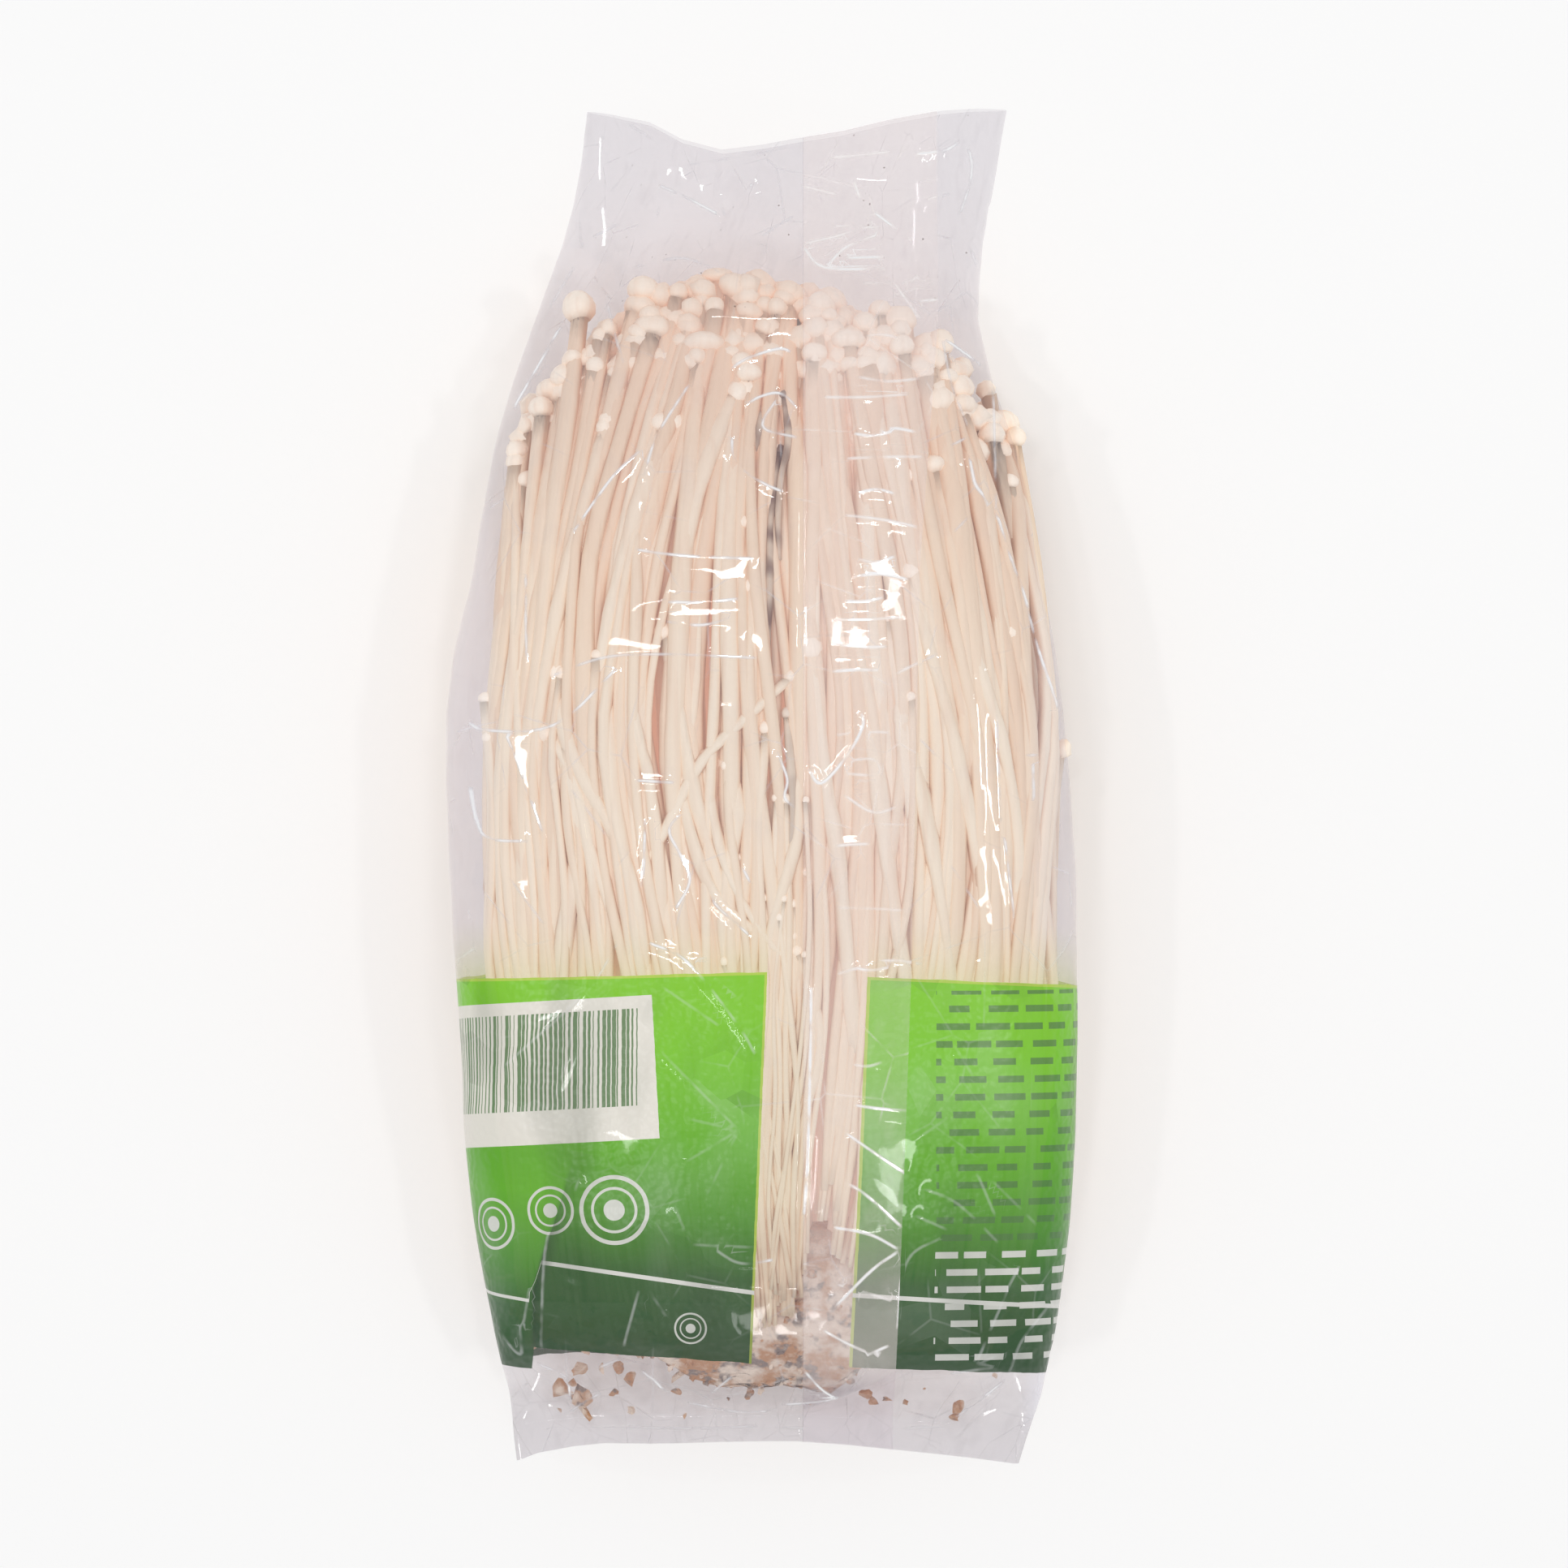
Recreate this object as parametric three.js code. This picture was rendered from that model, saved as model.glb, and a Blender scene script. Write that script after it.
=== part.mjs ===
// Enoki mushroom bunch in its clear film bag, lying on its underside.
// Millimetres. +Y runs from the roots to the bag's mouth, +Z is up.
// The origin is under the middle of the bag, on the surface that it lies on.

import * as THREE from 'three';

// ---- Bag: real sizes, from the foot weld to the mouth ----------------------

// Each station gives the film's left and right edge and its lowest and highest point.
const BAG_STATIONS = [
  { y: -109.3, left: -39.3, right: 41.8, low: 3.2, high: 4.4 },
  { y: -103.5, left: -40.0, right: 43.6, low: 3.2, high: 4.4 },
  { y: -98.0, left: -40.6, right: 45.2, low: 0.4, high: 13.0 },
  { y: -88.0, left: -42.6, right: 47.2, low: -2.5, high: 23.0 },
  { y: -70.0, left: -45.4, right: 49.2, low: -3.0, high: 30.0 },
  { y: -40.0, left: -48.2, right: 50.3, low: -3.0, high: 33.0 },
  { y: -10.0, left: -49.8, right: 50.0, low: -3.0, high: 34.0 },
  { y: 12.0, left: -50.2, right: 48.4, low: -3.0, high: 34.0 },
  { y: 32.0, left: -46.4, right: 45.4, low: -3.0, high: 32.5 },
  { y: 54.0, left: -42.2, right: 41.0, low: -3.0, high: 29.5 },
  { y: 75.0, left: -35.8, right: 34.8, low: -3.0, high: 24.5 },
  { y: 88.0, left: -31.4, right: 35.6, low: -1.5, high: 17.0 },
  { y: 99.0, left: -28.8, right: 37.4, low: -0.5, high: 11.0 },
  { y: 109.3, left: -27.8, right: 39.2, low: 0.4, high: 9.0 },
];
const FILM_WALL = 0.5; // stand-in for film about 0.04 thick
const WELD_INNER_EDGE = -103.5;
const SECTION_POWER = 2.5; // 2 is an ellipse, more is boxier
const BAG_SIDES = 36;

// ---- Seam flap: the welded edge of the film, folded to the right ------------

const FLAP = { foot: -101, left: 7, thick: 0.4, gap: 0.6, columns: 6 };
const FLAP_EDGE = [
  { y: -101, x: 21.5 }, // the cut edge leans in towards the foot
  { y: -30, x: 24 },
  { y: 35, x: 25.4 },
  { y: 75, x: 28.5 },
];

// ---- Bunch -----------------------------------------------------------------

// Tufts lie in four rows, one above the other. Lift is 0 for the lowest row and 1 for the roof.
const TUFT_ROWS = [
  { lift: 0, tufts: 9 },
  { lift: 0.32, tufts: 12 },
  { lift: 0.64, tufts: 12 },
  { lift: 0.94, tufts: 8 },
];
const TUFT_FOOT = -68.3;
const TUFT_RADIUS = { foot: 2.4, middle: 3.2, neck: 2.7, head: 3.4 }; // where the bag is widest
const TUFT_SWELL = { by: 0.6, until: 0.91 }; // share of the middle's extra radius, share of the stem
const TUFT_SIDES = 7;
const TUFT_STEPS = 6;
const HEAD_LENGTH = 9;
const HEAD_PROFILE = [ // shares of the head's radius and of its length
  [1, 0.25],
  [0.97, 0.55],
  [0.68, 0.86],
  [0.3, 0.98],
];
const TALLEST_HEAD = 79; // above the origin, at HEAD_CENTRE
const HEAD_CENTRE = -9;
const HEAD_FALL = 0.011; // how fast the fan drops to either side, per mm
const HEAD_STAGGER = { drop: 5.5, alongRow: 2, betweenRows: 3, levels: 4 }; // neighbours end lower in turn
const CLEAR_OF_FILM = 1.3;

// The substrate-bound clump that every tuft grows from.
const CLUMP = { foot: -95, top: -69, side: 4.5, under: 2.2 };
const CLUMP_MESH = { around: 28, upwards: 14, boxiness: 0.55 };
const CLUMP_LUMPS = { height: 1.1, across: 7, shift: 2, upright: 9, roof: 0.08, alongRoof: 11 };

// Bits of substrate loose in the foot of the bag: x, y, and radius. Each is a pebble with three waves.
const CRUMB_SHAPE = { wave: 0.08, flat: 0.75, waves: [3, 4, 5] };
const CRUMBS = [
  { x: -29.0, y: -97.9, radius: 2.1 },
  { x: -23.6, y: -97.4, radius: 1.2 },
  { x: -20.8, y: -100.3, radius: 1.0 },
  { x: -13.5, y: -97.6, radius: 1.2 },
  { x: -1.6, y: -97.9, radius: 1.6 },
  { x: 18.2, y: -98.6, radius: 1.3 },
  { x: 23.4, y: -99.0, radius: 1.1 },
  { x: 32.0, y: -99.6, radius: 1.4 },
];

// ---- Finishes --------------------------------------------------------------

const finish = (color, roughness) =>
  new THREE.MeshStandardMaterial({ color, roughness, metalness: 0 });
const film = () => finish(0xe6e2e8, 0.15);
const mushroom = () => finish(0xefe2d4, 0.45);
const roots = () => finish(0xb79f8a, 0.85);

// ---- Bag shape -------------------------------------------------------------

// A smooth curve through the stations that never swings past one of them.
function smoothColumn(key) {
  const knots = BAG_STATIONS.map((s) => ({ y: s.y, value: s[key] }));
  const rise = (i) => (knots[i + 1].value - knots[i].value) / (knots[i + 1].y - knots[i].y);
  const last = knots.length - 1;
  const slopes = knots.map((_, i) => {
    const [before, after] = [rise(Math.max(i - 1, 0)), rise(Math.min(i, last - 1))];
    return before * after > 0 ? (2 * before * after) / (before + after) : 0;
  });
  return (y) => {
    const i = Math.max(knots.findLastIndex((k, n) => n < last && k.y <= y), 0);
    const span = knots[i + 1].y - knots[i].y;
    const t = THREE.MathUtils.clamp((y - knots[i].y) / span, 0, 1);
    const ease = t * t * (3 - 2 * t);
    const leave = t * (1 - t) * (1 - t) * span * slopes[i];
    const arrive = t * t * (1 - t) * span * slopes[i + 1];
    return THREE.MathUtils.lerp(knots[i].value, knots[i + 1].value, ease) + leave - arrive;
  };
}

const bagColumns = ['left', 'right', 'low', 'high'].map((key) => [key, smoothColumn(key)]);

// Every station, and a row halfway to the next one.
const stationYs = BAG_STATIONS.map((s) => s.y);
const bagRows = stationYs.flatMap((y, i) => (i ? [(stationYs[i - 1] + y) / 2, y] : [y]));

function bagAt(y) {
  return Object.fromEntries(bagColumns.map(([key, column]) => [key, column(y)]));
}

// A point of the bag's section at y: angle 0 is the right edge, a quarter turn is the top.
function bagPoint(y, angle, inset) {
  const { left, right, low, high } = bagAt(y);
  const halfWide = (right - left) / 2 - inset;
  const halfHigh = Math.max((high - low) / 2 - inset, 0.1);
  const bulge = (v) => Math.sign(v) * Math.abs(v) ** (2 / SECTION_POWER);
  const x = (left + right) / 2 + halfWide * bulge(Math.cos(angle));
  const z = (low + high) / 2 + halfHigh * bulge(Math.sin(angle));
  return new THREE.Vector3(x, y, Math.max(z, inset)); // flat where it lies on the surface
}

// Height of the film's outside above the surface, over x.
function filmTop(x, y) {
  const { left, right, low, high } = bagAt(y);
  const across = Math.min(Math.abs((2 * x - left - right) / (right - left)), 1);
  const rise = (1 - across ** SECTION_POWER) ** (1 / SECTION_POWER);
  return (low + high) / 2 + (rise * (high - low)) / 2;
}

// A cup: up the outside, over the mouth's rim and down the inside, then squashed to shape.
function filmBag() {
  const outside = bagRows.map((y) => ({ y, inset: 0 }));
  const inside = bagRows.filter((y) => y >= WELD_INNER_EDGE).reverse();
  const wall = [...outside, ...inside.map((y) => ({ y, inset: FILM_WALL }))];

  const profile = wall.map((_, row) => new THREE.Vector2(1, row));
  profile.unshift(new THREE.Vector2(0, 0));
  profile.push(new THREE.Vector2(0, wall.length - 1));
  const cup = new THREE.LatheGeometry(profile, BAG_SIDES);

  const position = cup.attributes.position;
  const vertex = new THREE.Vector3();
  for (let i = 0; i < position.count; i++) {
    vertex.fromBufferAttribute(position, i);
    const { y, inset } = wall[Math.round(vertex.y)];
    const onAxis = Math.hypot(vertex.x, vertex.z) < 0.5;
    const turn = Math.atan2(vertex.z, vertex.x);
    const point = onAxis
      ? bagPoint(y, 0, inset).add(bagPoint(y, Math.PI, inset)).multiplyScalar(0.5)
      : bagPoint(y, turn, inset);
    position.setXYZ(i, point.x, point.y, point.z);
  }
  return cup;
}

// The cut edge's x at y.
function flapEdge(y) {
  const last = FLAP_EDGE.length - 1;
  const i = Math.max(FLAP_EDGE.findLastIndex((k, n) => n < last && k.y <= y), 0);
  const [from, to] = [FLAP_EDGE[i], FLAP_EDGE[i + 1]];
  return THREE.MathUtils.lerp(from.x, to.x, THREE.MathUtils.clamp((y - from.y) / (to.y - from.y), 0, 1));
}

// A flat strip that follows the film's top face, a little above it, row by row.
function seamFlap() {
  const ys = bagRows.filter((y) => y > FLAP.foot);
  const strip = new THREE.BoxGeometry(1, 1, 1, FLAP.columns, ys.length - 1, 1);
  const position = strip.attributes.position;
  for (let i = 0; i < position.count; i++) {
    const y = ys[Math.round((position.getY(i) + 0.5) * (ys.length - 1))];
    const x = THREE.MathUtils.lerp(FLAP.left, flapEdge(y), position.getX(i) + 0.5);
    const lift = FLAP.gap + (position.getZ(i) + 0.5) * FLAP.thick;
    position.setXYZ(i, x, y, filmTop(x, y) + lift);
  }
  return strip;
}

// ---- Bunch shape -----------------------------------------------------------

// How much tighter the bunch is packed at y than where the bag is widest.
function packing(y) {
  const size = ({ left, right, low, high }) => [right - left, high - Math.max(low, 0)];
  const [wide, high] = size(bagAt(y));
  const [widest, highest] = size(bagAt(0));
  return Math.min(wide / widest, high / highest, 1);
}

// A tuft's centre in the bag's section at y. Side runs from -1 at the left to 1 at the right.
function inBunch(side, lift, y) {
  const { left, right, low, high } = bagAt(y);
  const room = TUFT_RADIUS.head * packing(y) + FILM_WALL + CLEAR_OF_FILM;
  const reachWide = (right - left) / 2 - room;
  const reachHigh = (high - low) / 2 - room;
  const middle = (low + high) / 2;
  const z = THREE.MathUtils.lerp(Math.max(middle - reachHigh, room), middle + reachHigh, lift);
  const off = Math.min(Math.abs(z - middle) / reachHigh, 1);
  const rounded = (1 - off ** SECTION_POWER) ** (1 / SECTION_POWER);
  return new THREE.Vector3((left + right) / 2 + side * reachWide * rounded, y, z);
}

// A straight turned shape is laid along the tuft's own line.
function tuft(side, lift, top) {
  const length = top - TUFT_FOOT;
  const stemTop = length - HEAD_LENGTH;
  const { foot, middle, neck, head } = TUFT_RADIUS;
  const stem = [...Array(TUFT_STEPS + 1).keys()].map((step) => {
    const share = step / TUFT_STEPS;
    const swell = TUFT_SWELL.by * Math.sin(Math.PI * Math.min(share / TUFT_SWELL.until, 1));
    const radius = THREE.MathUtils.lerp(foot, neck, share) + (middle - foot) * swell;
    return new THREE.Vector2(radius, share * stemTop);
  });
  const cap = HEAD_PROFILE.map(
    ([radius, share]) => new THREE.Vector2(radius * head, stemTop + share * HEAD_LENGTH),
  );
  const profile = [new THREE.Vector2(0, 0), ...stem, ...cap, new THREE.Vector2(0, length)];
  const turned = new THREE.LatheGeometry(profile, TUFT_SIDES);

  const position = turned.attributes.position;
  for (let i = 0; i < position.count; i++) {
    const y = TUFT_FOOT + position.getY(i);
    const centre = inBunch(side, lift, y);
    const tight = packing(y);
    const x = centre.x + position.getX(i) * tight;
    const z = centre.z + position.getZ(i) * tight;
    position.setXYZ(i, x, y, z);
  }
  return turned;
}

// A lumpy slab that fills the foot of the bag.
function rootClump() {
  const slab = new THREE.SphereGeometry(1, CLUMP_MESH.around, CLUMP_MESH.upwards);
  slab.rotateX(Math.PI / 2);
  const position = slab.attributes.position;
  const boxy = (v) => Math.sign(v) * Math.abs(v) ** CLUMP_MESH.boxiness;
  const waves = CLUMP_LUMPS;
  for (let i = 0; i < position.count; i++) {
    const [a, b, c] = [position.getX(i), position.getY(i), position.getZ(i)];
    const y = THREE.MathUtils.mapLinear(boxy(b), -1, 1, CLUMP.foot, CLUMP.top);
    const { left, right, low, high } = bagAt(y);
    const floor = Math.max(low, 0) + CLUMP.under;
    const roof = high - CLUMP.side;
    const wave = Math.sin(waves.across * a + waves.shift) * Math.cos(waves.upright * c);
    const lump = waves.height * wave * (1 - b * b);
    const halfWide = (right - left) / 2 - CLUMP.side + lump;
    const x = (left + right) / 2 + halfWide * boxy(a);
    const halfHigh = ((roof - floor) / 2) * (1 - waves.roof * (1 - Math.sin(waves.alongRoof * a)));
    const z = (floor + roof) / 2 + halfHigh * boxy(c);
    position.setXYZ(i, x, y, z);
  }
  return slab;
}

// An irregular pebble: a sphere pushed in and out along three waves.
function crumb(radius, seed) {
  const pebble = new THREE.IcosahedronGeometry(radius, 1);
  const position = pebble.attributes.position;
  const vertex = new THREE.Vector3();
  for (let i = 0; i < position.count; i++) {
    vertex.fromBufferAttribute(position, i);
    const { x, y, z } = vertex.clone().divideScalar(radius);
    const [wideX, wideY, wideZ] = CRUMB_SHAPE.waves;
    const wave = Math.sin(wideX * x + seed) + Math.sin(wideY * y + 2 * seed) + Math.sin(wideZ * z + seed);
    vertex.multiplyScalar(1 + CRUMB_SHAPE.wave * wave);
    position.setXYZ(i, vertex.x, vertex.y, vertex.z * CRUMB_SHAPE.flat);
  }
  return pebble;
}

// ---- Assembly --------------------------------------------------------------

const bunch = new THREE.Group();

function add(name, geometry, material) {
  const mesh = new THREE.Mesh(geometry, material);
  mesh.name = name;
  bunch.add(mesh);
  return mesh;
}

add('film_bag', filmBag(), film());
add('seam_flap', seamFlap(), film());
add('root_clump', rootClump(), roots());

let tuftNumber = 0;
TUFT_ROWS.forEach(({ lift, tufts }, row) => {
  for (let i = 0; i < tufts; i++) {
    const side = THREE.MathUtils.mapLinear(i, 0, tufts - 1, -1, 1);
    const x = inBunch(side, lift, TALLEST_HEAD).x;
    const fan = TALLEST_HEAD - HEAD_FALL * (x - HEAD_CENTRE) ** 2;
    const step = (i * HEAD_STAGGER.alongRow + row * HEAD_STAGGER.betweenRows) % HEAD_STAGGER.levels;
    const top = fan - HEAD_STAGGER.drop * step;
    tuftNumber += 1;
    add(`tuft_${String(tuftNumber).padStart(2, '0')}`, tuft(side, lift, top), mushroom());
  }
});

CRUMBS.forEach(({ x, y, radius }, i) => {
  const { low, high } = bagAt(y);
  const mesh = add(`crumb_${i + 1}`, crumb(radius, i + 1), roots());
  mesh.position.set(x, y, (Math.max(low, 0) + high) / 2);
});

export default bunch;
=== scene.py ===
# %% [markdown]
# # A bunch of enoki in its film bag
#
# About four hundred and seventy thin mushrooms grow from one clump of roots. The bunch is
# packed in a printed clear film bag, and lies on its underside.
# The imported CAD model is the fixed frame. Every piece below takes its place from it.

# %% The frame
import math
from itertools import product

import bpy
import numpy as np
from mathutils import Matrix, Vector


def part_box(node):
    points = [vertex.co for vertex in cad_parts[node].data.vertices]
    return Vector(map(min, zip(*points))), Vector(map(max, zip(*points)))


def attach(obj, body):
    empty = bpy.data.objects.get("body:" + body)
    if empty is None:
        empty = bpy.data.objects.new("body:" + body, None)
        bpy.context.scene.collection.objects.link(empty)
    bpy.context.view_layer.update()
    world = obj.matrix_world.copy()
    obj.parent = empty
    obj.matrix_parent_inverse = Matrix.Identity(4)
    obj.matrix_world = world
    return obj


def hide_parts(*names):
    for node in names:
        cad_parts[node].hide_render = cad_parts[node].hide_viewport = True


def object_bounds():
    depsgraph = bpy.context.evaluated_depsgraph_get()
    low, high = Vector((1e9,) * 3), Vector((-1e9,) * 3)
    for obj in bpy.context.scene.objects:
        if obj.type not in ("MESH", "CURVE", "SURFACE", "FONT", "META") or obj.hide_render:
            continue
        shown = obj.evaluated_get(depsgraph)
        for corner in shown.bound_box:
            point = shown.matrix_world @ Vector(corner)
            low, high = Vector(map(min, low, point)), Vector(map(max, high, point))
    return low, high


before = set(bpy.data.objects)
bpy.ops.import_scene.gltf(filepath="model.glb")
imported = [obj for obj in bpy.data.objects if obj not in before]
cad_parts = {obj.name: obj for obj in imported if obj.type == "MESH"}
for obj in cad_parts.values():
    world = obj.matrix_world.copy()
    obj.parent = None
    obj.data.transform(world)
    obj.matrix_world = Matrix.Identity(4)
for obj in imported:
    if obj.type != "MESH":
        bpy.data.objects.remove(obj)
cad_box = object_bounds()
MM = 0.001
BODY = "root"
sides = [round(v / MM, 1) for v in cad_box[1] - cad_box[0]]
print("frame:", len(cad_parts), "nodes, sides", sides, "mm")

# %% [markdown]
# ## Camera
#
# The bunch lies flat, so the camera looks straight down on it, from far enough away
# that the sides of the bag hardly show.

# %% Camera
CAMERA_HEIGHT = 1300 * MM
VIEW_WIDTH = 251.2 * MM
VIEW_CENTRE = (3.9 * MM, 0.5 * MM)
SHARP_HEIGHT = 15 * MM  # the height at which the view is as wide as stated

bpy.ops.object.camera_add(location=(*VIEW_CENTRE, CAMERA_HEIGHT), rotation=(0, 0, 0))
camera = bpy.context.object
camera.name = "camera"
camera.data.sensor_width = 36
camera.data.lens = camera.data.sensor_width * (CAMERA_HEIGHT - SHARP_HEIGHT) / VIEW_WIDTH
bpy.context.scene.camera = camera
print("camera lens", round(camera.data.lens, 1), "mm")

# %% [markdown]
# ## Reading the frame
#
# The bag and the tufts are built up from rings in CAD, and each ring's corners have
# one y. Reading the rings back gives the bag's outline and each tuft's own line.


# %% Rings of a CAD node
def rings(node):
    """The node's corners, gathered into rings of one y, foot first."""
    points = np.array([v.co[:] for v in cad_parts[node].data.vertices])
    points = np.unique(points.round(6), axis=0)
    return [points[points[:, 1] == y] for y in np.unique(points[:, 1])]


def centre_line(node):
    """The middle of each of the node's rings."""
    return np.array([(r.min(0) + r.max(0)) / 2 for r in rings(node) if len(r) > 2])


bag_rings = rings("film_bag")
BAG_Y = np.array([r[0, 1] for r in bag_rings])
BAG_LEFT = np.array([r[:, 0].min() for r in bag_rings])
BAG_RIGHT = np.array([r[:, 0].max() for r in bag_rings])
BAG_HIGH = np.array([r[:, 2].max() for r in bag_rings])
BAG_MIDDLE = np.array([r[r[:, 0].argmax(), 2] for r in bag_rings])
BAG_FOOT, BAG_MOUTH = BAG_Y[0], BAG_Y[-1]
print("bag:", len(BAG_Y), "rows, from", round(BAG_FOOT / MM, 1), "to", round(BAG_MOUTH / MM, 1), "mm")

# %% The bag's section
SECTION_POWER = 2.5  # 2 is an ellipse, and more is squarer


def bag_at(y):
    """Left, right, middle height and top of the bag at y."""
    return [np.interp(y, BAG_Y, column) for column in (BAG_LEFT, BAG_RIGHT, BAG_MIDDLE, BAG_HIGH)]


def film_heights(x, y):
    """Heights of the film under and over a point. Underneath, it lies flat on the floor."""
    left, right, middle, high = bag_at(y)
    across = np.clip(np.abs(2 * x - left - right) / (right - left), 0, 1)
    bulge = (high - middle) * (1 - across**SECTION_POWER) ** (1 / SECTION_POWER)
    return np.maximum(middle - bulge, 0), middle + bulge


print("bag's top in the middle:", round(float(film_heights(0.0, 0.0)[1]) / MM, 1), "mm")

# %% [markdown]
# ## Material maths
#
# A material is a graph of nodes. The two small classes below let the graph be written
# as plain expressions: a Signal is the output of a node, and adding two signals adds a
# Math node.


# %% Signals
class Signal:
    """The output of a node, which takes part in sums, products and comparisons."""

    def __init__(self, finish, socket):
        self.finish, self.socket = finish, socket

    def math(self, operation, *values):
        return self.finish.node("ShaderNodeMath", {"operation": operation}, dict(enumerate(values)))

    def __add__(self, other):
        return self.math("ADD", self, other)

    def __sub__(self, other):
        return self.math("SUBTRACT", self, other)

    def __rsub__(self, other):
        return self.math("SUBTRACT", other, self)

    def __mul__(self, other):
        return self.math("MULTIPLY", self, other)

    def __truediv__(self, other):
        return self.math("DIVIDE", self, other)

    def __gt__(self, other):
        return self.math("GREATER_THAN", self, other)

    def __lt__(self, other):
        return self.math("LESS_THAN", self, other)

    def __abs__(self):
        return self.math("ABSOLUTE", self)

    __radd__, __rmul__ = __add__, __mul__

    def most(self, other):
        return self.math("MAXIMUM", self, other)

    def whole(self):
        return self.math("FLOOR", self)

    def part(self):
        return self.math("FRACT", self)

    def root(self):
        return self.math("SQRT", self)

    def sine(self):
        return self.math("SINE", self)

    def ramp(self, start, end):
        """0 up to start, 1 from end, and even in between."""
        inputs = {"Value": self, "From Min": start, "From Max": end}
        return self.finish.node("ShaderNodeMapRange", {"clamp": True}, inputs)

    def between(self, low, high):
        return (self > low) * (self < high)


# %% Finishes
FACTOR, COLOUR_A, COLOUR_B, MIXED_COLOUR = 0, 6, 7, 2  # a Mix node's sockets for colours


class Finish:
    """A material and the graph that makes it."""

    def __init__(self, name):
        self.material = bpy.data.materials.new(name)
        self.material.use_nodes = True
        self.tree = self.material.node_tree
        self.tree.nodes.clear()

    def node(self, kind, settings=None, inputs=None, output=0):
        """Adds a node, sets it, feeds its sockets and gives back one of its outputs."""
        made = self.tree.nodes.new(kind)
        for name, value in (settings or {}).items():
            if name == "stops":
                ramp = made.color_ramp
                while len(ramp.elements) < len(value):
                    ramp.elements.new(0.5)
                for element, (place, colour) in zip(ramp.elements, value):
                    element.position, element.color = place, colour
            else:
                setattr(made, name, value)
        for name, value in (inputs or {}).items():
            if isinstance(value, Signal):
                self.tree.links.new(value.socket, made.inputs[name])
            else:
                made.inputs[name].default_value = value
        return Signal(self, made.outputs[output])

    def mix(self, a, b, factor):
        """Colour a where the factor is 0 and colour b where it is 1."""
        settings = {"data_type": "RGBA", "clamp_factor": True}
        return self.node("ShaderNodeMix", settings, {FACTOR: factor, COLOUR_A: a, COLOUR_B: b}, MIXED_COLOUR)

    def attribute(self, name):
        return self.node("ShaderNodeAttribute", {"attribute_name": name}, output="Fac")

    def axis(self, vector, name):
        return self.node("ShaderNodeSeparateXYZ", None, {"Vector": vector}, name)

    def scaled(self, vector, scale):
        """The vector with each axis scaled."""
        return self.node("ShaderNodeMapping", None, {"Vector": vector, "Scale": scale})

    def noise(self, vector, scale, detail=3.0, roughness=0.5, dimensions="3D"):
        inputs = {"Vector": vector, "Scale": scale, "Detail": detail, "Roughness": roughness}
        return self.node("ShaderNodeTexNoise", {"noise_dimensions": dimensions}, inputs)

    def flat_noise(self, vector, scale, detail=1.0, roughness=0.5):
        """Noise over x and y only, which is quicker."""
        return self.noise(vector, scale, detail, roughness, "2D")

    def cells(self, vector, scale, feature, output):
        """Cells of random shape over x and y."""
        settings = {"feature": feature, "voronoi_dimensions": "2D"}
        return self.node("ShaderNodeTexVoronoi", settings, {"Vector": vector, "Scale": scale}, output)

    def random(self, number):
        """A random number from 0 to 1, the same for the same number."""
        return self.node("ShaderNodeTexWhiteNoise", {"noise_dimensions": "1D"}, {"W": number})

    def bump(self, height, strength, distance):
        inputs = {"Height": height, "Strength": strength, "Distance": distance}
        return self.node("ShaderNodeBump", None, inputs)

    def surface(self, shader):
        end = self.tree.nodes.new("ShaderNodeOutputMaterial")
        self.tree.links.new(shader.socket, end.inputs["Surface"])
        return self.material


def srgb(red, green, blue):
    """A colour given in 0 to 255, as the linear one that shaders use."""
    parts = [c / 255 for c in (red, green, blue)]
    return (*(((c + 0.055) / 1.055) ** 2.4 if c > 0.04 else c / 12.92 for c in parts), 1.0)


print("mid grey is", round(srgb(128, 128, 128)[0], 3), "in linear light")

# %% [markdown]
# ## Mushroom flesh
#
# Enoki is grown in the dark, so it is nearly white, with a cream or rosy tone that
# differs from stem to stem. Its surface is satin, with fibres along the stem. The
# stems turn greener towards the roots and brown where they join. Light that reaches
# the inner stems has passed through the outer ones, so they are painted warmer, and a faint
# glow stands for the light that the flesh passes on. Every point
# carries five numbers: its mushroom's tone, how far up the mushroom it is, how
# darkened the mushroom is, how deep in the bunch the point lies, and how far it turns
# away from the bunch's outside, since shade is painted on the sides where stems touch.

# %% Mushroom flesh
CREAM = srgb(255, 238, 214)
ROSY = srgb(242, 210, 184)
YELLOW = srgb(255, 245, 230)
PEACH = srgb(240, 204, 176)
GREENISH = srgb(238, 224, 190)
ROOT_BROWN = srgb(187, 158, 128)
DARKENED_BROWN = srgb(130, 98, 86)
INNER = srgb(228, 194, 170)
GLOW = srgb(220, 192, 172)
CREVICE_SHADE = srgb(204, 150, 114)
DARKNESS = (0.0, 0.0, 0.0, 1.0)


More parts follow.
